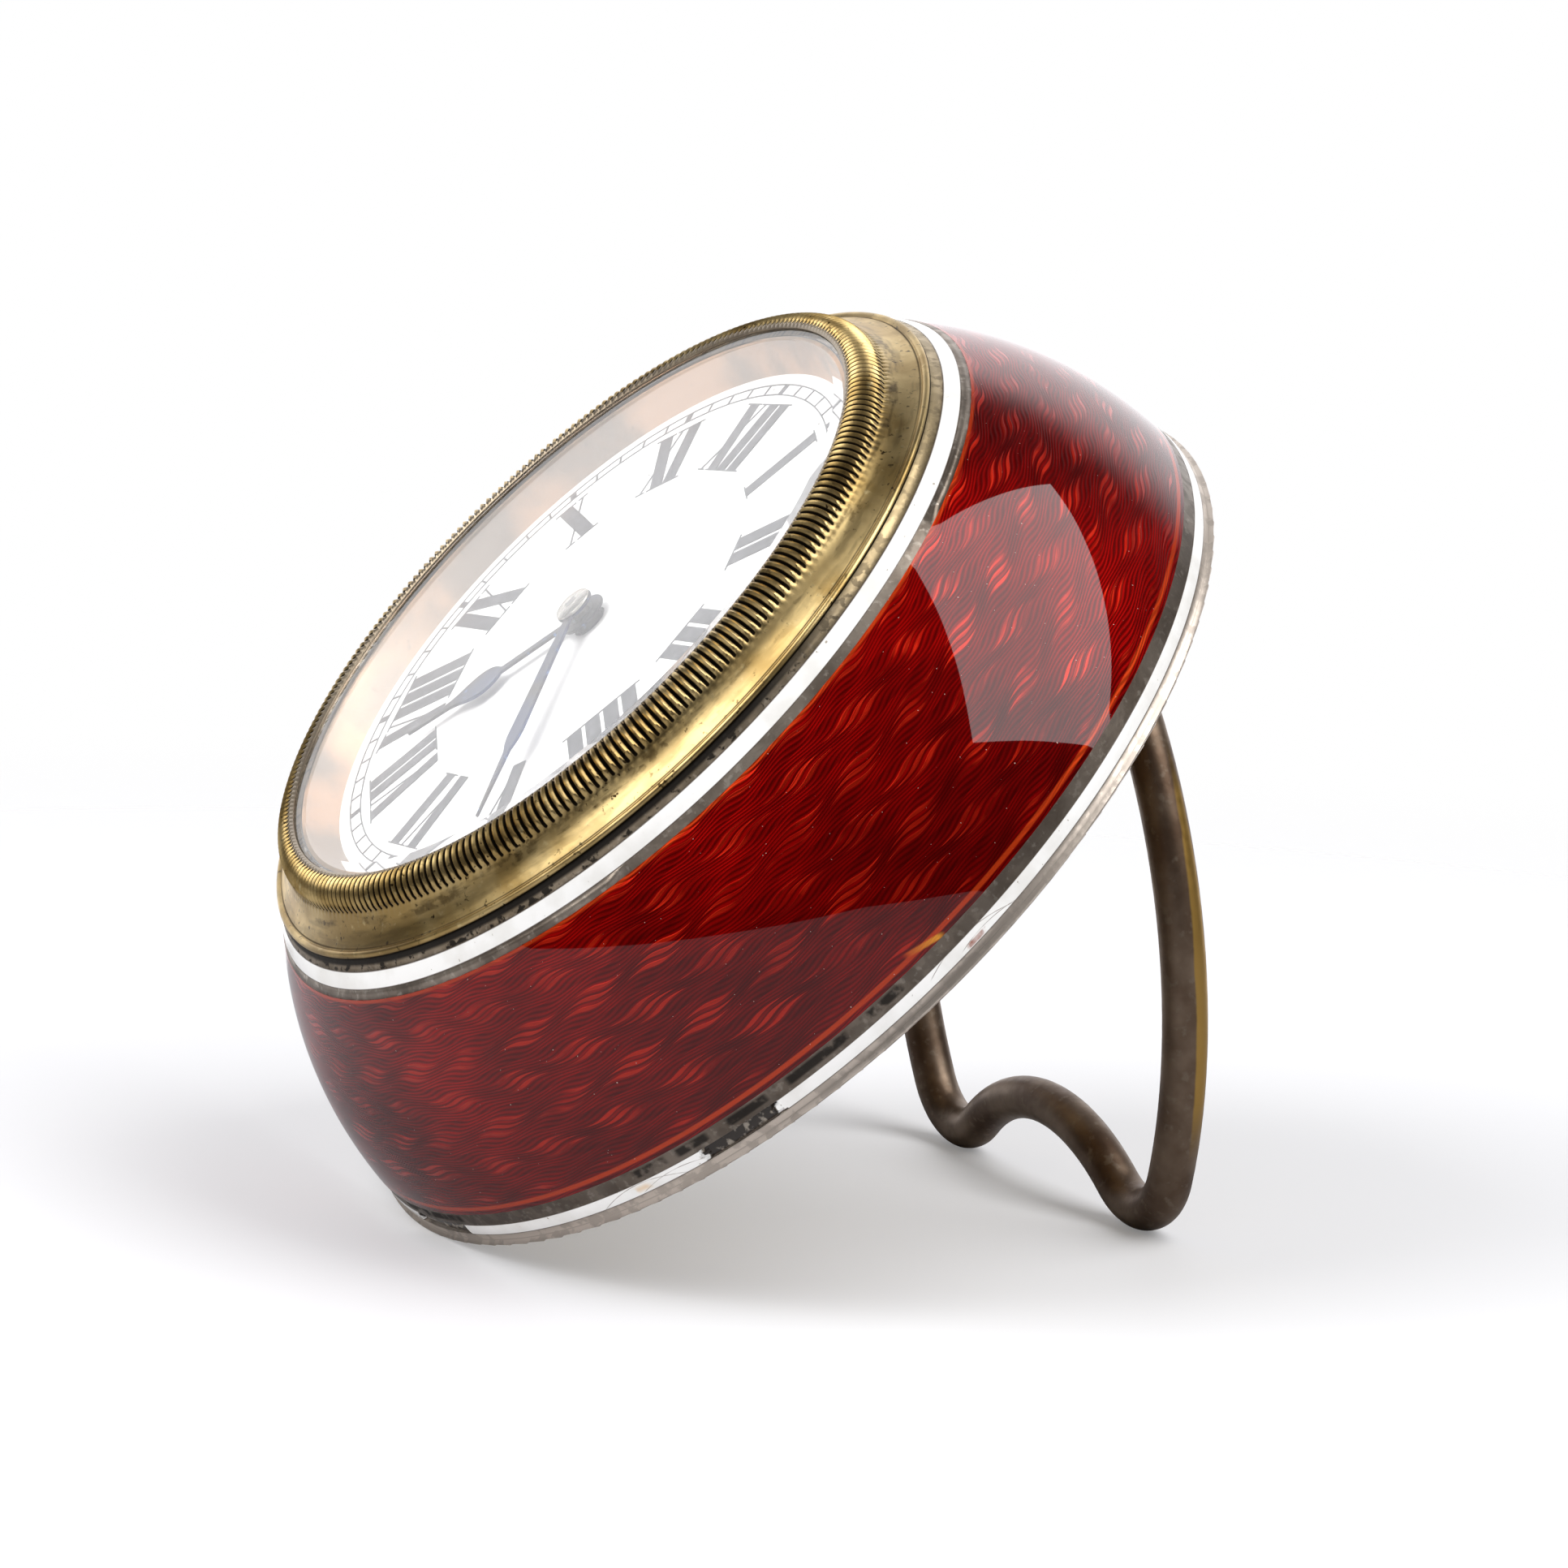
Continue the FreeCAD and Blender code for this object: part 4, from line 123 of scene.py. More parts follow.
# The studio: ways in which a sheet and the table's front edge lie, with their distances in metres.
BACKDROP = (-0.906, 0.423, 0.0)
TABLE_FRONT = (0.139, -0.990, 0.0)
TABLE_REACH = 0.225
TABLE_FADE = (0.09, 0.28)
TABLE_RADIUS = 0.6
SHEET_REACH = 0.08
SHEET_GLOW = (1.4, 1.4, 1.43, 1)
WHITE = (1, 1, 1, 1)

CAMERA_PLACE = (0.29346, -0.13138, 0.07516)
CAMERA_AZIMUTH = math.radians(65.07)
CAMERA_HEIGHT = math.radians(7.65)
CAMERA_ROLL = math.radians(2.26)
CAMERA_LENS = 101.65
SENSOR_WIDTH = 36

# Settings that many nodes share. A Mix node takes colours at UNDER and OVER, numbers at FIRST and SECOND.
SOFT = {"interpolation_type": "SMOOTHSTEP"}
COLOURS = {"data_type": "RGBA", "out": 2}
UNDER, OVER = 6, 7
FIRST, SECOND = 2, 3
TIMES = {"operation": "MULTIPLY"}
TIMES_PLUS = {"operation": "MULTIPLY_ADD"}
DIVIDED = {"operation": "DIVIDE"}
MINUS = {"operation": "SUBTRACT"}
DOT = {"operation": "DOT_PRODUCT", "out": "Value"}


def colour(hex_code):
    """A colour written as sRGB hex, in the linear values that Blender wants."""
    parts = [int(hex_code[i:i + 2], 16) / 255 for i in (1, 3, 5)]
    return tuple(p / 12.92 if p <= 0.04045 else ((p + 0.055) / 1.055) ** 2.4 for p in parts) + (1.0,)


def node(tree, kind, *inputs, out=0, sockets=None, **settings):
    """Adds a node with its settings and its links, and gives back one of its outputs."""
    made = tree.nodes.new("ShaderNode" + kind)
    for name, value in settings.items():
        setattr(made, name, value)
    wanted = dict(enumerate(inputs))
    wanted.update(sockets or {})
    for name, value in wanted.items():
        if value is None:
            continue
        if isinstance(value, bpy.types.NodeSocket):
            tree.links.new(value, made.inputs[name])
        else:
            made.inputs[name].default_value = value
    return made.outputs[out]


def material(name, **constants):
    """A material with a Principled shader whose plain numbers are set on its own sockets."""
    made = bpy.data.materials.new(name)
    made.use_nodes = True
    shader = made.node_tree.nodes["Principled BSDF"]
    for socket, value in constants.items():
        shader.inputs[socket.replace("_", " ")].default_value = value
    return made, made.node_tree, shader


def plug(shader, **sources):
    """Links outputs of other nodes to a shader's sockets."""
    for socket, source in sources.items():
        shader.id_data.links.new(source, shader.inputs[socket.replace("_", " ")])


def clock_place(tree):
    """Millimetres in the clock's own frame: x to III, y to XII, z along the dial's axis."""
    spot = node(tree, "TexCoord", out="Object")
    return node(tree, "Mapping", spot, tuple(STAND), (LEAN, 0, 0), (MM, MM, MM), vector_type="TEXTURE")


def clock_polar(tree, place):
    """Degrees clockwise from XII, distance from the axis and height along it."""
    x, y, height = node(tree, "SeparateXYZ", place).node.outputs
    turn = node(tree, "Math", x, y, operation="ARCTAN2")
    degrees = node(tree, "Math", turn, 180 / math.pi, **TIMES)
    degrees = node(tree, "Math", degrees, 360.0, 0.0, operation="WRAP")
    flat = node(tree, "VectorMath", place, (1, 1, 0), **TIMES)
    radius = node(tree, "VectorMath", flat, out="Value", operation="LENGTH")
    return degrees, radius, height


def within(tree, value, low, high, soft=0.4):
    """One between two values and zero outside them, with soft ends."""
    rising = node(tree, "MapRange", value, low - soft, low + soft, **SOFT)
    falling = node(tree, "MapRange", value, high + soft, high - soft, **SOFT)
    return node(tree, "Math", rising, falling, **TIMES)


def strongest(tree, values):
    """The largest of several values."""
    best = values[0]
    for value in values[1:]:
        best = node(tree, "Math", best, value, operation="MAXIMUM")
    return best


def product(tree, values):
    """Several values multiplied."""
    total = values[0]
    for value in values[1:]:
        total = node(tree, "Math", total, value, **TIMES)
    return total


def blotched(tree, cloud, low, high, under, over):
    """Two colours in soft blotches where a cloudy pattern goes from low to high."""
    share = node(tree, "MapRange", cloud, low, high, **SOFT)
    return node(tree, "Mix", share, sockets={UNDER: colour(under), OVER: colour(over)}, **COLOURS)


def worn_gilding(tree, place, fine):
    """The colour of worn fire gilding: muted gold, brighter in grains, with brown speckles in patches."""
    cloud = node(tree, "TexNoise", place, None, GRAIN / 3.0, 4.0)
    tone = blotched(tree, cloud, 0.35, 0.65, "#b3955c", "#dcc188")
    bright = node(tree, "MapRange", fine, 0.6, 0.78, **SOFT)
    tone = node(tree, "Mix", bright, sockets={UNDER: tone, OVER: colour("#e6cf98")}, **COLOURS)
    speck = node(tree, "MapRange", node(tree, "TexNoise", place, None, GRAIN / 0.25, 2.0), 0.6, 0.7, **SOFT)
    patch = node(tree, "MapRange", node(tree, "TexNoise", place, None, GRAIN / 1.6, 3.0), 0.42, 0.6, **SOFT)
    worn = product(tree, [speck, patch])
    return cloud, node(tree, "Mix", worn, sockets={UNDER: tone, OVER: colour("#43341f")}, **COLOURS)


def plain_gilding():
    """Fire-gilt brass of the back: a soft golden gloss, duller in cloudy patches."""
    made, tree, shader = material("gilt_brass_plain", Metallic=1.0)
    place = clock_place(tree)
    fine = node(tree, "TexNoise", place, None, GRAIN / 0.5, 4.0)
    cloud, tone = worn_gilding(tree, place, fine)
    rough = node(tree, "Math", cloud, 0.25, 0.24, **TIMES_PLUS)
    bump = node(tree, "Bump", 0.5, 0.03 * MM, sockets={"Height": fine})
    plug(shader, Base_Color=tone, Roughness=rough, Normal=bump)
    return made


def milled_gilding():
    """Fire-gilt brass of the bezel: brown streaks around it; painted shade, near black, between its ridges,
    under its bead and in a line beside the bead; a painted pale sheen on its lip.
    """
    made, tree, shader = material("gilt_brass_milled", Metallic=1.0)
    place = clock_place(tree)
    degrees, radius, height = clock_polar(tree, place)
    fine = node(tree, "TexNoise", place, None, GRAIN / 0.5, 4.0)
    tone = worn_gilding(tree, place, fine)[1]
    foot = within(tree, radius, 28.55, 29.3, 0.3)
    around = node(tree, "CombineXYZ", node(tree, "Math", degrees, 0.1, **TIMES), radius, height)
    streak = node(tree, "MapRange", node(tree, "TexNoise", around, None, 1.3, 5.0), 0.45, 0.62, **SOFT)
    patina = product(tree, [foot, node(tree, "MapRange", fine, 0.36, 0.56, **SOFT), streak, 0.8])
    patina = strongest(tree, [patina, product(tree, [streak, 0.35])])
    tone = node(tree, "Mix", patina, sockets={UNDER: tone, OVER: colour("#5f4d2e")}, **COLOURS)
    # A painted pale sheen: the lip and the glass seat inside it are painted silvery grey over the gilding.
    lip = node(tree, "MapRange", radius, 26.8, 26.6, 0.0, 0.8, **SOFT)
    tone = node(tree, "Mix", lip, sockets={UNDER: tone, OVER: colour("#a3988b")}, **COLOURS)
    # Painted shade: the grooves between the milled ridges are darkened nearly to black.
    wave = node(tree, "Math", node(tree, "Math", degrees, math.radians(RIDGES), **TIMES), operation="COSINE")
    groove = node(tree, "MapRange", wave, -0.1, 0.55, **SOFT)
    groove_shade = product(tree, [groove, within(tree, radius, 26.6, WAIST[0], 0.06)])
    # Painted shade under the bead: the flange's outer wall and underside, at the seam with the case, are
    # darkened.
    under = node(tree, "MapRange", height, 20.95, 20.8, **SOFT)
    # A painted shade line in the hollow just inside the bead.
    bead_shade_line = product(tree, [within(tree, radius, 30.36, 30.46, 0.05), 0.75])
    # The painted shades of the grooves, the wall under the bead and the bead line darken the gilding and
    # make it rougher.
    darkening = strongest(tree, [groove_shade, under, bead_shade_line])
    tone = node(tree, "Mix", darkening, sockets={UNDER: tone, OVER: colour("#1f1911")}, **COLOURS)
    rough = node(tree, "Math", darkening, 0.35, 0.36, **TIMES_PLUS)
    bump = node(tree, "Bump", 0.5, 0.03 * MM, sockets={"Height": fine})
    plug(shader, Base_Color=tone, Roughness=rough, Normal=bump)
    return made


def silver_wall(tree, place, polar, tone):
    """The wall beside the rim stripe: brown above it, bright at its foot, with black patches."""
    degrees, radius, height = polar
    outside = node(tree, "MapRange", radius, *WALL_OUTSIDE)
    brown = product(tree, [within(tree, height, *WALL_STRIP, 0.15), outside, 0.5])
    tone = node(tree, "Mix", brown, sockets={UNDER: tone, OVER: colour("#5e544b")}, **COLOURS)
    foot = product(tree, [node(tree, "MapRange", height, 1.1, 0.9, 0.0, 0.9), outside])
    tone = node(tree, "Mix", foot, sockets={UNDER: tone, OVER: colour("#dfd2c5")}, **COLOURS)
    near = strongest(tree, [within(tree, degrees, low, high) for low, high in PATCH_DEGREES])
    full = node(tree, "MapRange", node(tree, "TexNoise", place, None, GRAIN / 0.9, 4.0), 0.36, 0.5, **SOFT)
    patch = product(tree, [full, near, within(tree, height, *PATCH_HEIGHTS, 0.12), outside, 0.85])
    line = product(tree, [within(tree, height, 0.46, 0.52, 0.04), 0.3])
    return tone, strongest(tree, [patch, line])


def silver_slope(tree, place, polar, tone):
    """The slope under the bezel: yellowed, with crumbs of dirt and a black corner of painted shade round its
    lower half.
    """
    degrees, _, height = polar
    slope = node(tree, "MapRange", height, 19.9, 20.1, **SOFT)
    # Painted shade: the corner under the bezel's flange is painted nearly black round the lower half.
    corner_shade = node(tree, "MapRange", height, 20.2, 20.45, **SOFT)
    lower = within(tree, degrees, *DIRT_AND_SHADE_DEGREES, 15.0)
    aged = product(tree, [slope, node(tree, "Math", lower, -0.6, 0.9, **TIMES_PLUS)])
    tone = node(tree, "Mix", aged, sockets={UNDER: tone, OVER: colour("#c0aa80")}, **COLOURS)
    crumbs = node(tree, "TexNoise", place, None, GRAIN / 0.45, 3.0)
    crumbs = node(tree, "MapRange", crumbs, 0.5, 0.6, **SOFT)
    crumbs = product(tree, [crumbs, node(tree, "Math", lower, 0.5, 0.4, **TIMES_PLUS)])
    return tone, product(tree, [slope, strongest(tree, [crumbs, product(tree, [corner_shade, lower, 0.95])])])


def silver_metal():
    """Tarnished silver: grey brown, brighter in grains where it is handled, duller where dirt lies on it,
    and black with painted shade in the corner under the bezel.
    """
    made, tree, shader = material("tarnished_silver", Metallic=0.85)
    place = clock_place(tree)
    polar = clock_polar(tree, place)
    cloud = node(tree, "TexNoise", place, None, GRAIN / 2.2, 4.0)
    tone = blotched(tree, cloud, 0.35, 0.65, "#7c7064", "#a3978a")
    fine = node(tree, "TexNoise", place, None, GRAIN / 0.35, 4.0)
    bright = product(tree, [node(tree, "MapRange", fine, 0.56, 0.68, **SOFT), 0.55])
    tone = node(tree, "Mix", bright, sockets={UNDER: tone, OVER: colour("#cbc1b4")}, **COLOURS)
    tone, patches = silver_wall(tree, place, polar, tone)
    tone, crumbs_and_corner_shade = silver_slope(tree, place, polar, tone)
    flakes = node(tree, "TexNoise", place, None, GRAIN / 0.8, 5.0)
    faint = product(tree, [node(tree, "MapRange", flakes, 0.47, 0.56, **SOFT), 0.22])
    # Real tarnish patches, crumbs and flakes of dirt, with the painted shade of the corner under the bezel,
    # darken the silver and make it rougher.
    darkening = strongest(tree, [patches, crumbs_and_corner_shade, faint])
    tone = node(tree, "Mix", darkening, sockets={UNDER: tone, OVER: colour("#22201f")}, **COLOURS)
    rough = node(tree, "Math", darkening, 0.3, 0.36, **TIMES_PLUS)
    bump = node(tree, "Bump", 0.5, 0.04 * MM, sockets={"Height": fine})
    plug(shader, Base_Color=tone, Roughness=rough, Normal=bump)
    return made


def flame_strokes(tree, level, along):
    """Three tapering strokes side by side, which make one flame."""
    index = node(tree, "Math", node(tree, "Math", level, STROKE_PITCH, **DIVIDED), operation="ROUND")
    index = node(tree, "Clamp", index, -1.0, 1.0)
    aside = node(tree, "Math", index, -STROKE_PITCH, level, **TIMES_PLUS)
    aside = node(tree, "Math", aside, operation="ABSOLUTE")
    share = node(tree, "Math", along, STROKE_REACH, **DIVIDED)
    width = node(tree, "Math", product(tree, [share, share]), -STROKE_WIDTH, STROKE_WIDTH, **TIMES_PLUS)
    return node(tree, "MapRange", node(tree, "Math", width, aside, **MINUS), -0.02, 0.025, **SOFT)


def engine_turning(tree, degrees, down):
    """Where the flames are, how the fine waves run, and the painted light and shade of the ground between
    the flames.
    """
    count = node(tree, "Math", down, FLAME_FIRST_ROW - FLAME_ROW / 2, **MINUS)
    row = node(tree, "Math", node(tree, "Math", count, FLAME_ROW, **DIVIDED), operation="FLOOR")
    beside = node(tree, "Math", row, -FLAME_ROW, count, **TIMES_PLUS)
    beside = node(tree, "Math", beside, FLAME_ROW / 2, **MINUS)
    odd = node(tree, "Math", row, 2.0, operation="FLOORED_MODULO")
    lean = node(tree, "Math", odd, 2 * FLAME_LEAN, -FLAME_LEAN, **TIMES_PLUS)
    turn = node(tree, "Math", degrees, FLAME_START, **MINUS)
    turn = node(tree, "Math", turn, product(tree, [beside, lean]), **MINUS)
    phase = node(tree, "Math", turn, math.tau / FLAME_PERIOD, **TIMES)
    bend = node(tree, "Math", node(tree, "Math", phase, operation="SINE"), WAVE_RISE, **TIMES)
    half = node(tree, "Math", odd, FLAME_PERIOD / 2, **TIMES)
    along = node(tree, "Math", turn, half, **MINUS)
    along = node(tree, "Math", along, FLAME_PERIOD / 2, -FLAME_PERIOD / 2, operation="WRAP")
    flame = flame_strokes(tree, node(tree, "Math", beside, bend, **MINUS), along)
    fine = node(tree, "Math", node(tree, "Math", down, bend, **MINUS), math.tau / WAVE_PITCH, **TIMES)
    fine = node(tree, "Math", node(tree, "Math", fine, operation="SINE"), 0.5, 0.5, **TIMES_PLUS)
    # Painted light and shade: the ground is lighter round each flame and darker between flames, standing for
    # light on the cut facets.
    across = node(tree, "Math", beside, math.tau / FLAME_ROW, **TIMES)
    length = node(tree, "Math", along, math.tau / FLAME_PERIOD, **TIMES)
    painted_facet_light = product(tree, [node(tree, "Math", angle, operation="COSINE") for angle in (across, length)])
    ground = node(tree, "Math", painted_facet_light, 0.5, 0.5, **TIMES_PLUS)
    return flame, fine, ground


def distance_down(tree, radius, height):
    """Millimetres down the dome's curve from its top edge."""
    centre = arc_centre(DOME_FOOT, DOME_TOP, DOME_RADIUS, -1)
    out = node(tree, "Math", radius, centre[0], **MINUS)
    up = node(tree, "Math", height, centre[1], **MINUS)
    slope = node(tree, "Math", up, out, operation="ARCTAN2")
    start = math.atan2(DOME_TOP[1] - centre[1], DOME_TOP[0] - centre[0])
    return node(tree, "Math", slope, -DOME_RADIUS, start * DOME_RADIUS, **TIMES_PLUS)


def enamel_border(tree, tone, degrees, height, down):
    """Orange lines near both edges, where the red enamel is thin, and a drop of amber resin on the lower."""
    top_edge = node(tree, "MapRange", down, 0.3, 0.18, 0.0, 0.8)
    low_edge = product(tree, [within(tree, down, 16.32, 16.66, 0.06), 0.9])
    border = strongest(tree, [top_edge, low_edge])
    tone = node(tree, "Mix", border, sockets={UNDER: tone, OVER: colour("#b83a14")}, **COLOURS)
    slant = node(tree, "Math", degrees, DROP_SLOPE, height, **TIMES_PLUS)
    drop = product(tree, [within(tree, slant, *DROP_BAND, 0.09), within(tree, degrees, *DROP_DEGREES, 0.5)])
    amber = node(tree, "MapRange", degrees, *DROP_DEGREES)
    amber = node(tree, "Mix", amber, sockets={UNDER: colour("#e59a2c"), OVER: colour("#b8421a")}, **COLOURS)
    return node(tree, "Mix", drop, sockets={UNDER: tone, OVER: amber}, **COLOURS)


def red_enamel():
    """Translucent red enamel fired over engine turning: waves and flames in deep red under a clear gloss,
    with painted glints on the flames and painted light and shade on the ground between them.
    """
    made, tree, shader = material("red_guilloche_enamel", Metallic=0.45, Roughness=0.42, Coat_Weight=1.0,
                                  Coat_Roughness=0.02, Coat_IOR=1.45, Specular_IOR_Level=0.0)
    place = clock_place(tree)
    degrees, radius, height = clock_polar(tree, place)
    down = distance_down(tree, radius, height)
    flame, fine, ground = engine_turning(tree, degrees, down)
    cloud = node(tree, "TexNoise", place, None, GRAIN / 5.0, 4.0)
    tone = blotched(tree, cloud, 0.3, 0.7, "#820403", "#9e0705")
    broad = node(tree, "TexNoise", place, None, GRAIN / 7.0, 1.0)
    broad = node(tree, "MapRange", broad, 0.35, 0.62, 0.0, 0.5)
    # The painted shade of the ground, mixed with broad random patches, darkens the red.
    dark = node(tree, "Math", ground, -0.45, broad, **TIMES_PLUS)
    dark = node(tree, "Clamp", node(tree, "Math", dark, 0.3, operation="ADD"))
    tone = node(tree, "Mix", dark, sockets={UNDER: tone, OVER: colour("#3c0304")}, **COLOURS)
    lined = product(tree, [fine, 0.72])
    tone = node(tree, "Mix", lined, sockets={UNDER: tone, OVER: colour("#3a0202")}, **COLOURS)
    # Painted glints: the flame strokes are painted a lighter orange red, in random patches, where they would
    # catch the light.
    lit = node(tree, "TexNoise", place, None, GRAIN / 2.5, 2.0)
    lit = node(tree, "MapRange", lit, 0.38, 0.58, 0.1, 1.0)
    rows = strongest(tree, [node(tree, "MapRange", down, LAST_ROW, LAST_ROW - 0.1),
                            within(tree, down, *ROW_REMAINS, 0.06)])
    flame_glint = product(tree, [flame, lit, rows])
    tone = node(tree, "Mix", flame_glint, sockets={UNDER: tone, OVER: colour("#bb2411")}, **COLOURS)
    facet = node(tree, "Math", flame_glint, 0.4, 0.45, **TIMES_PLUS)
    tone = enamel_border(tree, tone, degrees, height, down)
    dust = node(tree, "TexNoise", place, None, GRAIN / 0.12, 1.0)
    dust = node(tree, "MapRange", dust, 0.79, 0.82, **SOFT)
    tone = node(tree, "Mix", dust, sockets={UNDER: tone, OVER: colour("#c9b2a6")}, **COLOURS)
    relief = node(tree, "Math", flame, 1.5, fine, **TIMES_PLUS)
    bump = node(tree, "Bump", 0.5, 0.05 * MM, sockets={"Height": relief})
    skin = node(tree, "TexNoise", place, None, GRAIN / 4.0, 1.0)
    skin = node(tree, "Bump", 0.05, 0.2 * MM, sockets={"Height": skin})
    plug(shader, Base_Color=tone, Metallic=facet, Normal=bump, Coat_Normal=skin)
    return made


def rim_damage(tree, place, tone, degrees, height):
    """Damage to the rim stripe: a stain, a bruise, bent cracks, and the dark ground where enamel is gone."""
    ragged = node(tree, "TexNoise", place, None, GRAIN / 0.6, 4.0)
    wobble = node(tree, "Math", ragged, 3.0, degrees, **TIMES_PLUS)
    wobble = node(tree, "Math", wobble, 1.5, **MINUS)
    stain = product(tree, [within(tree, wobble, *STAIN_DEGREES, 0.5),
                           within(tree, height, *STAIN_HEIGHTS, 0.2), 0.6])
    tone = node(tree, "Mix", stain, sockets={UNDER: tone, OVER: colour("#dcb67e")}, **COLOURS)
    bruise = product(tree, [within(tree, wobble, *BRUISE_DEGREES, 0.3),
                            within(tree, height, *BRUISE_HEIGHTS, 0.06), ragged, 1.6])
    tone = node(tree, "Mix", bruise, sockets={UNDER: tone, OVER: colour("#93543f")}, **COLOURS)
    lines = []
    for middle, top, low, high in CRACKS:
        off = node(tree, "Math", degrees, middle, **MINUS)
        rise = node(tree, "Math", product(tree, [off, off]), CRACK_BEND, height, **TIMES_PLUS)
        line = within(tree, rise, top - CRACK_HALF, top + CRACK_HALF, 0.03)
        lines.append(product(tree, [line, within(tree, degrees, low, high)]))
    faded = node(tree, "MapRange", ragged, 0.35, 0.6, 0.25, 1.0)
    crack = product(tree, [strongest(tree, lines), faded])
    tone = node(tree, "Mix", crack, sockets={UNDER: tone, OVER: colour("#6a5644")}, **COLOURS)
    cloud = node(tree, "TexNoise", place, None, GRAIN / 0.4, 4.0)
    ground = blotched(tree, cloud, 0.5, 0.62, "#2b2520", "#8d8478")
    gone = strongest(tree, [within(tree, wobble, low, high, 0.15) for low, high in CHIPS])
    return node(tree, "Mix", gone, sockets={UNDER: tone, OVER: ground}, **COLOURS)


def stripe_enamel(name, low, high, damaged):
    """Opaque white vitreous enamel: a hard gloss with grey specks and a dark seam at both of its edges."""
    made, tree, shader = material(name, Roughness=0.16, IOR=1.5)
    place = clock_place(tree)
    degrees, _, height = clock_polar(tree, place)
    cloud = node(tree, "TexNoise", place, None, GRAIN / 2.0, 4.0)
    tone = blotched(tree, cloud, 0.4, 0.7, "#f3f2ef", "#e6e4df")
    speck = node(tree, "TexNoise", place, None, GRAIN / 0.25, 2.0)
    speck = node(tree, "MapRange", speck, 0.72, 0.76, **SOFT)
    tone = node(tree, "Mix", speck, sockets={UNDER: tone, OVER: colour("#a89f92")}, **COLOURS)
    if damaged:
        tone = rim_damage(tree, place, tone, degrees, height)
    seam = node(tree, "Math", 1.0, within(tree, height, low + 0.05, high - 0.05, 0.03), **MINUS)
    tone = node(tree, "Mix", seam, sockets={UNDER: tone, OVER: colour("#5c5249")}, **COLOURS)
    bump = node(tree, "Bump", 0.2, 0.05 * MM, sockets={"Height": cloud})
    plug(shader, Base_Color=tone, Normal=bump)
    return made


def dial_enamel():
    """White dial enamel, fired smooth: faint cloudiness, pin specks and hair scratches."""
    made, tree, shader = material("white_dial_enamel", Roughness=0.22, IOR=1.5)
    place = clock_place(tree)
    cloud = node(tree, "TexNoise", place, None, GRAIN / 7.0, 4.0)
    tone = blotched(tree, cloud, 0.35, 0.7, "#f3f2f1", "#eae9e8")
    speck = node(tree, "TexNoise", place, None, GRAIN / 0.3, 1.0)
    speck = node(tree, "MapRange", speck, 0.77, 0.8, **SOFT)
    tone = node(tree, "Mix", speck, sockets={UNDER: tone, OVER: colour("#8b857c")}, **COLOURS)
    stretched = node(tree, "VectorMath", place, (3.0, 0.25, 1.0), **TIMES)
    hair = node(tree, "TexNoise", stretched, None, GRAIN / 0.5, 2.0)
    hair = node(tree, "MapRange", hair, 0.72, 0.78, 0.0, 0.3)
    tone = node(tree, "Mix", hair, sockets={UNDER: tone, OVER: colour("#a59e92")}, **COLOURS)
    plug(shader, Base_Color=tone)
    return made


def black_enamel():
    """Black enamel paint fired into the dial, a little worn and grey in the strokes."""
    made, tree, shader = material("black_dial_enamel", Roughness=0.35, IOR=1.5)
    cloud = node(tree, "TexNoise", clock_place(tree), None, GRAIN / 0.3, 4.0)
    plug(shader, Base_Color=blotched(tree, cloud, 0.4, 0.75, "#1e1e22", "#55555a"))
    return made


def blued_steel():
    """Steel blued by heat and polished, going to brown black where the blue has worn."""
    made, tree, shader = material("blued_steel", Metallic=1.0, Roughness=0.3)
    place = clock_place(tree)
    cloud = node(tree, "TexNoise", place, None, GRAIN / 3.5, 4.0)
    tone = blotched(tree, cloud, 0.42, 0.6, "#22325a", "#39332f")
    worn = node(tree, "TexNoise", place, None, GRAIN / 0.3, 4.0)
    worn = node(tree, "MapRange", worn, 0.6, 0.75, **SOFT)
    tone = node(tree, "Mix", worn, sockets={UNDER: tone, OVER: colour("#5f7fb0")}, **COLOURS)
    plug(shader, Base_Color=tone)
    return made


def sight_gilding():
    """Matt rose gilding inside the glass, clouded with grey."""
    made, tree, shader = material("rose_gilt_ring", Metallic=0.7, Roughness=0.45)
    place = clock_place(tree)
    cloud = node(tree, "TexNoise", place, None, GRAIN / 6.0, 4.0)
    tone = blotched(tree, cloud, 0.4, 0.62, "#a69788", "#ddb899")
    fine = node(tree, "TexNoise", place, None, GRAIN / 0.4, 3.0)
    dull = node(tree, "MapRange", fine, 0.66, 0.76, 0.0, 0.5)
    tone = node(tree, "Mix", dull, sockets={UNDER: tone, OVER: colour("#7f766c")}, **COLOURS)
    bump = node(tree, "Bump", 0.3, 0.03 * MM, sockets={"Height": fine})
    plug(shader, Base_Color=tone, Normal=bump)
    return made


def machined(name, low, high, roughness):
    """Bare metal of the movement and back, finely grained, with the oil and air of a century on it."""
    made, tree, shader = material(name, Metallic=1.0)
    place = clock_place(tree)
    cloud = node(tree, "TexNoise", place, None, GRAIN / 4.8, 4.0)
    tone = blotched(tree, cloud, 0.3, 0.7, low, high)
    stretched = node(tree, "VectorMath", place, (6.0, 0.6, 2.0), **TIMES)
    lines = node(tree, "TexNoise", stretched, None, GRAIN / 1.2, 4.0)
    dull = node(tree, "MapRange", lines, 0.66, 0.76, **SOFT)
    tone = node(tree, "Mix", dull, sockets={UNDER: tone, OVER: colour("#4a3a26")}, **COLOURS)
    rough = node(tree, "Math", lines, 0.25, roughness - 0.12, **TIMES_PLUS)
    bump = node(tree, "Bump", 0.25, 0.03 * MM, sockets={"Height": lines})
    plug(shader, Base_Color=tone, Roughness=rough, Normal=bump)
    return made


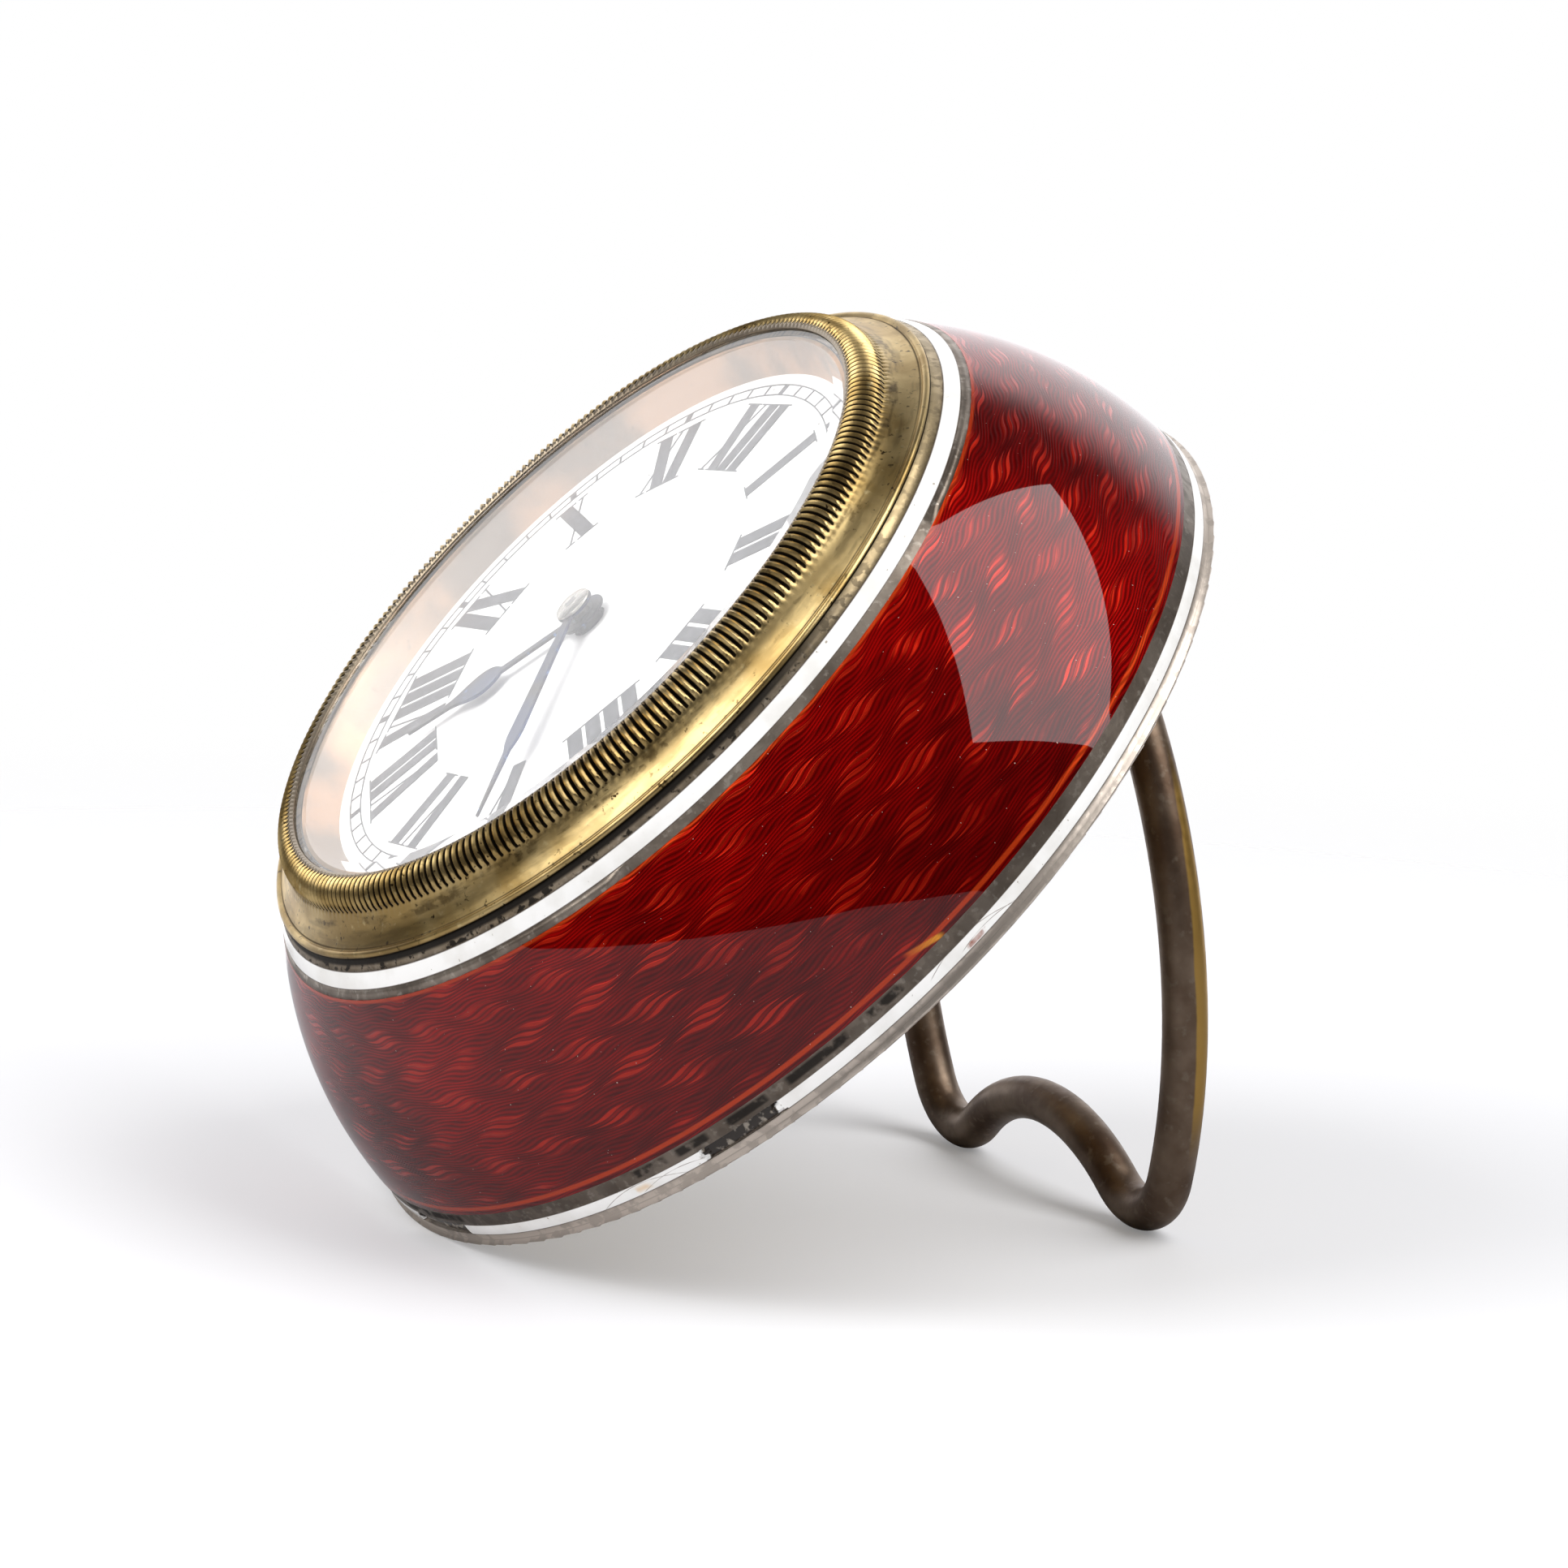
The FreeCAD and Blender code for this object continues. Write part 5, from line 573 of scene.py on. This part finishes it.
def rubbed_sides(tree, cloud):
    """The outer back side of both legs of the strut, where hands have rubbed it."""
    spot = node(tree, "TexCoord", out="Object")
    facing = node(tree, "TexCoord", out="Normal")
    sides = []
    for side in (-1, 1):
        outward = node(tree, "VectorMath", facing, (side * RUBBED_WAY[0], RUBBED_WAY[1], 0.0), **DOT)
        outward = node(tree, "Math", cloud, 0.1, outward, **TIMES_PLUS)
        beside = node(tree, "Math", node(tree, "SeparateXYZ", spot), side, **TIMES)
        sides.append(product(tree, [node(tree, "MapRange", outward, 0.93, 0.97),
                                    node(tree, "MapRange", beside, 0.0, MM)]))
    reach = within(tree, node(tree, "SeparateXYZ", spot, out="Z"), *RUBBED_HEIGHTS, 3 * MM)
    return product(tree, [strongest(tree, sides), reach, 0.9])


def bronzed_wire():
    """Bent brass wire, chemically browned, rubbed back to yellow brass along its outer side."""
    made, tree, shader = material("bronzed_brass_wire", Metallic=0.9)
    place = clock_place(tree)
    cloud = node(tree, "TexNoise", place, None, GRAIN / 3.0, 4.0)
    tone = blotched(tree, cloud, 0.3, 0.7, "#5d493a", "#8b7968")
    fine = node(tree, "TexNoise", place, None, GRAIN / 0.5, 4.0)
    bright = product(tree, [node(tree, "MapRange", fine, 0.56, 0.7, **SOFT), 0.5])
    tone = node(tree, "Mix", bright, sockets={UNDER: tone, OVER: colour("#8e8070")}, **COLOURS)
    rubbed = rubbed_sides(tree, cloud)
    tone = node(tree, "Mix", rubbed, sockets={UNDER: tone, OVER: colour("#b8924a")}, **COLOURS)
    rough = node(tree, "Math", fine, 0.3, 0.3, **TIMES_PLUS)
    bump = node(tree, "Bump", 0.4, 0.05 * MM, sockets={"Height": fine})
    plug(shader, Base_Color=tone, Roughness=rough, Normal=bump)
    return made


def crystal():
    """Bevelled glass, polished: clear to light from the lamps, so that the dial behind it stays lit."""
    made, tree, shader = material("bevelled_glass", Base_Color=WHITE, Roughness=0.0, IOR=1.5,
                                  Transmission_Weight=1.0)
    shadow = node(tree, "LightPath", out="Is Shadow Ray")
    both = node(tree, "MixShader", shadow, shader.outputs[0], node(tree, "BsdfTransparent"))
    tree.links.new(both, tree.nodes["Material Output"].inputs["Surface"])
    return made


def arc_centre(start, end, radius, side):
    """The centre of an arc from start to end; side 1 bulges to the left of the way."""
    (x0, y0), (x1, y1) = start, end
    chord = math.hypot(x1 - x0, y1 - y0)
    rise = side * math.sqrt(radius ** 2 - chord ** 2 / 4) / chord
    return (x0 + x1) / 2 + rise * (y1 - y0), (y0 + y1) / 2 - rise * (x1 - x0)


def arc(start, end, radius, side, count):
    """Points of an arc from start to end, start left out."""
    cx, cy = arc_centre(start, end, radius, side)
    first = math.atan2(start[1] - cy, start[0] - cx)
    swing = math.remainder(math.atan2(end[1] - cy, end[0] - cx) - first, math.tau)
    angles = [first + swing * (i + 1) / count for i in range(count)]
    return [(cx + radius * math.cos(a), cy + radius * math.sin(a)) for a in angles]


def finish_piece(name, mesh_data, finish, nodes, smooth):
    """Makes the object, shades it smooth up to an angle and lets it stand for CAD nodes."""
    mesh = bpy.data.meshes.new(name)
    mesh_data.to_mesh(mesh)
    mesh_data.free()
    piece = bpy.data.objects.new(name, mesh)
    bpy.context.scene.collection.objects.link(piece)
    mesh.materials.append(finish)
    mesh.shade_smooth()
    mesh.set_sharp_from_angle(angle=math.radians(smooth))
    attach(piece, next(body for body, members in BODIES.items() if nodes[0] in members))
    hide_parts(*nodes)
    return piece


def turned(name, outline, steps, finish, nodes, shape=None, smooth=35):
    """A closed outline of (radius, height) points turned about the dial's axis, shaped vertex by vertex."""
    data = bmesh.new()
    points = [data.verts.new((0, radius, height)) for radius, height in outline]
    edges = [data.edges.new((a, b)) for a, b in zip(points, points[1:] + points[:1])]
    bmesh.ops.spin(data, geom=points + edges, cent=(0, 0, 0), axis=(0, 0, 1), dvec=(0, 0, 0),
                   angle=math.tau, steps=steps, use_merge=True)
    bmesh.ops.remove_doubles(data, verts=data.verts, dist=1e-4)
    bmesh.ops.recalc_face_normals(data, faces=data.faces)
    if shape:
        for vertex in data.verts:
            shape(vertex)
    bmesh.ops.transform(data, matrix=TO_STAND, verts=data.verts)
    finish_piece(name, data, finish, nodes, smooth)


def softened(node_name, finish, width=0.0, smooth=30):
    """A copy of a CAD node, merged, with its sharp edges broken by a bevel of a width in millimetres."""
    data = bmesh.new()
    data.from_mesh(frame["nodes"][node_name].data)
    bmesh.ops.remove_doubles(data, verts=data.verts, dist=2e-6)
    bmesh.ops.dissolve_limit(data, angle_limit=math.radians(0.5), verts=data.verts, edges=data.edges)
    piece = finish_piece(node_name + "_finished", data, finish, [node_name], smooth)
    if width:
        edge = piece.modifiers.new("broken_edge", "BEVEL")
        edge.width = width * MM
        edge.segments = 2
        edge.profile = 0.5
        edge.limit_method = "ANGLE"
        edge.angle_limit = math.radians(40)
        edge.harden_normals = False


def mill_ridge(vertex):
    """Cuts the milled grooves into the bezel's rounded shoulder."""
    radius = math.hypot(vertex.co.x, vertex.co.y)
    if vertex.co.z < WAIST[1] - SLACK or radius < CROWN[0] - SLACK:
        return
    fade = min(1.0, (RIDGE_END - radius) / RIDGE_FADE)
    turn = math.atan2(vertex.co.x, vertex.co.y) * RIDGES
    groove = (0.5 + 0.5 * math.cos(turn)) ** 1.5
    away = Vector((vertex.co.x / radius, vertex.co.y / radius, 1.0)).normalized()
    vertex.co -= away * RIDGE_DEPTH * groove * fade


def make_bezel():
    """The gilt bezel: hollow flange with a bead, milled shoulder, lip and the seat of the glass."""
    bead_start, bead_end = (31.03, 21.0), (30.53, 21.1)
    flange = [(28.3, 18.8), (29.3, 18.8), (29.3, 20.7), (30.98, 20.7), (31.03, 20.75), bead_start]
    bead = arc(bead_start, bead_end, 0.3, -1, 4)
    hollow = arc(bead_end, WAIST, 4.2, 1, 8)
    shoulder = arc(WAIST, CROWN, 1.6, -1, 12)
    lip = [(26.5, 24.5), (26.25, 24.35), (26.25, 23.755)]
    seat = [(26.6, 23.5), (26.6, 22.6), (25.9, 22.6), (25.9, 21.2), (28.3, 21.2)]
    outline = flange + bead + hollow + shoulder + lip + seat
    turned("bezel_milled", outline, RIDGES * 4, milled_gilding(), ["bezel"], mill_ridge, smooth=50)


def make_red_band():
    """The domed red band, with its back on the silver ground."""
    centre = arc_centre(DOME_FOOT, DOME_TOP, DOME_RADIUS, -1)
    inner = DOME_RADIUS - ENAMEL_DEPTH

    def on_ground(point):
        angle = math.atan2(point[1] - centre[1], point[0] - centre[0])
        return centre[0] + inner * math.cos(angle), centre[1] + inner * math.sin(angle)

    back_top, back_foot = on_ground(DOME_TOP), on_ground(DOME_FOOT)
    outer = [DOME_FOOT] + arc(DOME_FOOT, DOME_TOP, DOME_RADIUS, -1, 36)
    back = [back_top] + arc(back_top, back_foot, inner, 1, 12)
    turned("red_enamel_band", outer + back, 360, red_enamel(), ["red_enamel"])


def make_front_stripe():
    """The white stripe on the slope before the dome, a little proud in its middle as fired enamel is."""
    slope = (SHOULDER_TOP[1] - DOME_TOP[1]) / (DOME_TOP[0] - SHOULDER_TOP[0])
    side = math.hypot(1, slope)

    def on_slope(radius, depth):
        height = DOME_TOP[1] + (DOME_TOP[0] - radius) * slope
        return radius - depth * slope / side, height - depth / side

    outer, inner = FRONT_STRIPE_RADII
    face = []
    for i in range(STRIPE_STEPS + 1):
        share = i / STRIPE_STEPS
        swell = FRONT_STRIPE_SWELL * math.sin(math.pi * share)
        face.append(on_slope(outer + (inner - outer) * share, -swell))
    back = [on_slope(inner, ENAMEL_DEPTH), on_slope(outer, ENAMEL_DEPTH)]
    low, high = on_slope(outer, 0)[1], on_slope(inner, 0)[1]
    turned("front_stripe_enamel", face + back, 360, stripe_enamel("white_stripe_enamel", low, high, False),
           ["front_enamel_stripe"])


def chip(vertex):
    """Sinks the face of the rim stripe where its enamel is gone."""
    turn = math.degrees(math.atan2(vertex.co.x, vertex.co.y)) % 360
    ragged = turn + CHIP_RAGGED * noise.noise(vertex.co * CHIP_GRAIN)
    radius = math.hypot(vertex.co.x, vertex.co.y)
    if radius > RIM_STRIPE_FLOOR + SLACK and any(low < ragged < high for low, high in CHIPS):
        inward = 1 - CHIP_DEPTH / radius
        vertex.co *= Vector((inward, inward, 1))


def make_rim_stripe():
    """The white stripe around the wall, chipped in two places."""
    low, high = RIM_STRIPE_HEIGHTS
    taper = (WALL_FOOT[0] - DOME_FOOT[0]) / (DOME_FOOT[1] - WALL_FOOT[1])
    face = []
    for i in range(STRIPE_STEPS + 1):
        share = i / STRIPE_STEPS
        height = low + (high - low) * share
        wall = WALL_FOOT[0] - taper * (height - WALL_FOOT[1])
        swell = RIM_STRIPE_SWELL * math.sin(math.pi * share)
        face.append((wall + swell, height))
    turned("rim_stripe_enamel", face + [(RIM_STRIPE_FLOOR, high), (RIM_STRIPE_FLOOR, low)], 1080,
           stripe_enamel("white_rim_enamel", low, high, True), ["rim_enamel_stripe"], chip)


def make_front():
    """Glass, sight ring, dial, figures and hands."""
    glass_rim = [(26.6, 22.6), (26.6, 23.5), (26.24, 23.75), (26.2, 24.21), (25.2, 24.3)]
    glass_middle = [(0.0, 24.3), (0.0, 22.6)]
    turned("glass_crystal", glass_rim + glass_middle, 180, crystal(), ["glass"], smooth=4)
    softened("sight_ring", sight_gilding())
    softened("dial", dial_enamel())
    softened("dial_markings", black_enamel())
    blue = blued_steel()
    softened("hour_hand", blue, 0.05)
    softened("minute_hand", blue, 0.05)
    softened("hour_wheel", blue)
    softened("hand_cap", machined("polished_steel_cap", "#b5b0a8", "#d2cdc4", 0.26), 0.06)


def make_back():
    """The case, the strut and everything that shows from behind."""
    softened("case_shell", silver_metal(), smooth=40)
    softened("strut", bronzed_wire(), smooth=50)
    gilt = plain_gilding()
    steel = machined("grained_steel", "#7d7a76", "#a8a5a0", 0.36)
    for name in ("back_plate", "strut_bracket", "key_hub", "key_bow"):
        softened(name, gilt, 0.08)
    softened("hand_set_knob", gilt, 0.04)
    for name in ("back_screws", "bracket_screws", "strut_pin", "key_pin", "regulator"):
        softened(name, steel, 0.05)


def finish_movement():
    """Metal for the pieces of the movement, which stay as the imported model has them."""
    brass = machined("movement_brass", "#a5834a", "#c8a565", 0.34)
    steel = machined("movement_steel", "#85827e", "#b0ada8", 0.3)
    blue = bpy.data.materials["blued_steel"]
    steel_nodes = ("plate_screws", "movement_screws", "centre_arbor", "cannon_pinion", "barrel_arbor",
                   "ratchet_wheel", "click", "click_screw", "pallet_lever", "hairspring_stud",
                   "escape_wheel")
    blue_nodes = ("hairspring", "mainspring")
    for name, item in frame["nodes"].items():
        if name + "_finished" in bpy.data.objects:
            continue
        finish = steel if name in steel_nodes else blue if name in blue_nodes else brass
        item.data.materials.clear()
        item.data.materials.append(finish)


def table_surface():
    """Matt white board: it fades out to white before the camera, and polished surfaces see it end."""
    made, tree, shader = material("pale_table", Roughness=0.6, Specular_IOR_Level=0.2)
    mirrored = node(tree, "LightPath", out="Is Glossy Ray")
    whites = {UNDER: colour("#f6f6f8"), OVER: colour("#b2b2b4")}
    plug(shader, Base_Color=node(tree, "Mix", mirrored, sockets=whites, **COLOURS))
    spot = node(tree, "TexCoord", out="Object")
    away = node(tree, "VectorMath", spot, out="Value", operation="LENGTH")
    fade = node(tree, "MapRange", away, *TABLE_FADE, 0.2, 1.0, **SOFT)
    front = node(tree, "VectorMath", spot, TABLE_FRONT, **DOT)
    back = node(tree, "VectorMath", spot, BACKDROP, **DOT)
    edge = strongest(tree, [node(tree, "MapRange", front, TABLE_REACH, TABLE_REACH + 0.003),
                            node(tree, "MapRange", back, SHEET_REACH, SHEET_REACH + 0.02)])
    seen = node(tree, "LightPath", out="Is Camera Ray")
    share = node(tree, "Mix", seen, sockets={FIRST: edge, SECOND: fade})
    both = node(tree, "MixShader", share, shader.outputs[0], node(tree, "BsdfTransparent"))
    tree.links.new(both, tree.nodes["Material Output"].inputs["Surface"])
    return made


def make_table():
    """A pale round table under the clock."""
    data = bmesh.new()
    bmesh.ops.create_circle(data, cap_ends=True, segments=64, radius=TABLE_RADIUS)
    mesh = bpy.data.meshes.new("floor")
    data.to_mesh(mesh)
    data.free()
    floor = bpy.data.objects.new("floor", mesh)
    bpy.context.scene.collection.objects.link(floor)
    mesh.materials.append(table_surface())


def make_surroundings():
    """White behind the picture; polished surfaces see a bright sheet behind the clock in a dark room."""
    world = bpy.data.worlds.new("studio")
    bpy.context.scene.world = world
    world.use_nodes = True
    tree = world.node_tree
    way = node(tree, "TexCoord", out="Generated")
    facing = node(tree, "VectorMath", way, BACKDROP, **DOT)
    upward = node(tree, "SeparateXYZ", way, out="Z")
    sheet = product(tree, [node(tree, "MapRange", facing, 0.47, 0.8, **SOFT),
                           node(tree, "MapRange", upward, 0.85, 0.65, **SOFT)])
    room = node(tree, "Mix", sheet, sockets={UNDER: colour("#060607"), OVER: SHEET_GLOW}, **COLOURS)
    mirrored = node(tree, "LightPath", out="Is Glossy Ray")
    shade = node(tree, "Mix", mirrored, sockets={UNDER: colour("#a0a0a3"), OVER: room}, **COLOURS)
    seen = node(tree, "LightPath", out="Is Camera Ray")
    shade = node(tree, "Mix", seen, sockets={UNDER: shade, OVER: WHITE}, **COLOURS)
    tree.links.new(shade, tree.nodes["Background"].inputs["Color"])


def make_softbox(name, place, target, roll, size, watts):
    """A flat soft lamp at a place, turned to a target and rolled by degrees about its beam."""
    lamp = bpy.data.lights.new(name, "AREA")
    lamp.shape = "RECTANGLE"
    lamp.size, lamp.size_y = size
    lamp.energy = watts
    item = bpy.data.objects.new(name, lamp)
    aim = (Vector(target) - Vector(place)).to_track_quat("-Z", "Y").to_matrix().to_4x4()
    item.matrix_world = Matrix.Translation(place) @ aim @ Matrix.Rotation(math.radians(roll), 4, "Z")
    bpy.context.scene.collection.objects.link(item)


def make_lamps():
    """Two soft lamps: one behind the clock's right side and a larger one before its dial."""
    make_softbox("right_softbox", (0.417, 0.284, 0.630), (0.121, -0.116, 0.017), 56.4, (0.80, 0.56), 5.2)
    make_softbox("front_softbox", (-0.04, -0.74, 0.70), (0, 0, 0.03), 0, (0.75, 0.85), 7.4)


def make_camera():
    """A long lens at the photograph's height and side, turned a little about its view."""
    level = math.cos(CAMERA_HEIGHT)
    east, south = math.sin(CAMERA_AZIMUTH) * level, math.cos(CAMERA_AZIMUTH) * level
    back = Vector((east, -south, math.sin(CAMERA_HEIGHT)))
    right = Vector((0, 0, 1)).cross(back).normalized()
    down = right.cross(back)
    across = right * math.cos(CAMERA_ROLL) - down * math.sin(CAMERA_ROLL)
    below = right * math.sin(CAMERA_ROLL) + down * math.cos(CAMERA_ROLL)
    lens = bpy.data.cameras.new("camera")
    lens.sensor_width = SENSOR_WIDTH
    lens.lens = CAMERA_LENS
    lens.clip_start = 0.01
    item = bpy.data.objects.new("camera", lens)
    turn = Matrix((across, -below, back)).transposed().to_4x4()
    item.matrix_world = Matrix.Translation(CAMERA_PLACE) @ turn
    bpy.context.scene.collection.objects.link(item)
    bpy.context.scene.camera = item


make_bezel()
make_red_band()
make_front_stripe()
make_rim_stripe()
make_front()
make_back()
finish_movement()
make_table()
make_surroundings()
make_lamps()
make_camera()
bpy.context.scene.view_settings.view_transform = "Standard"
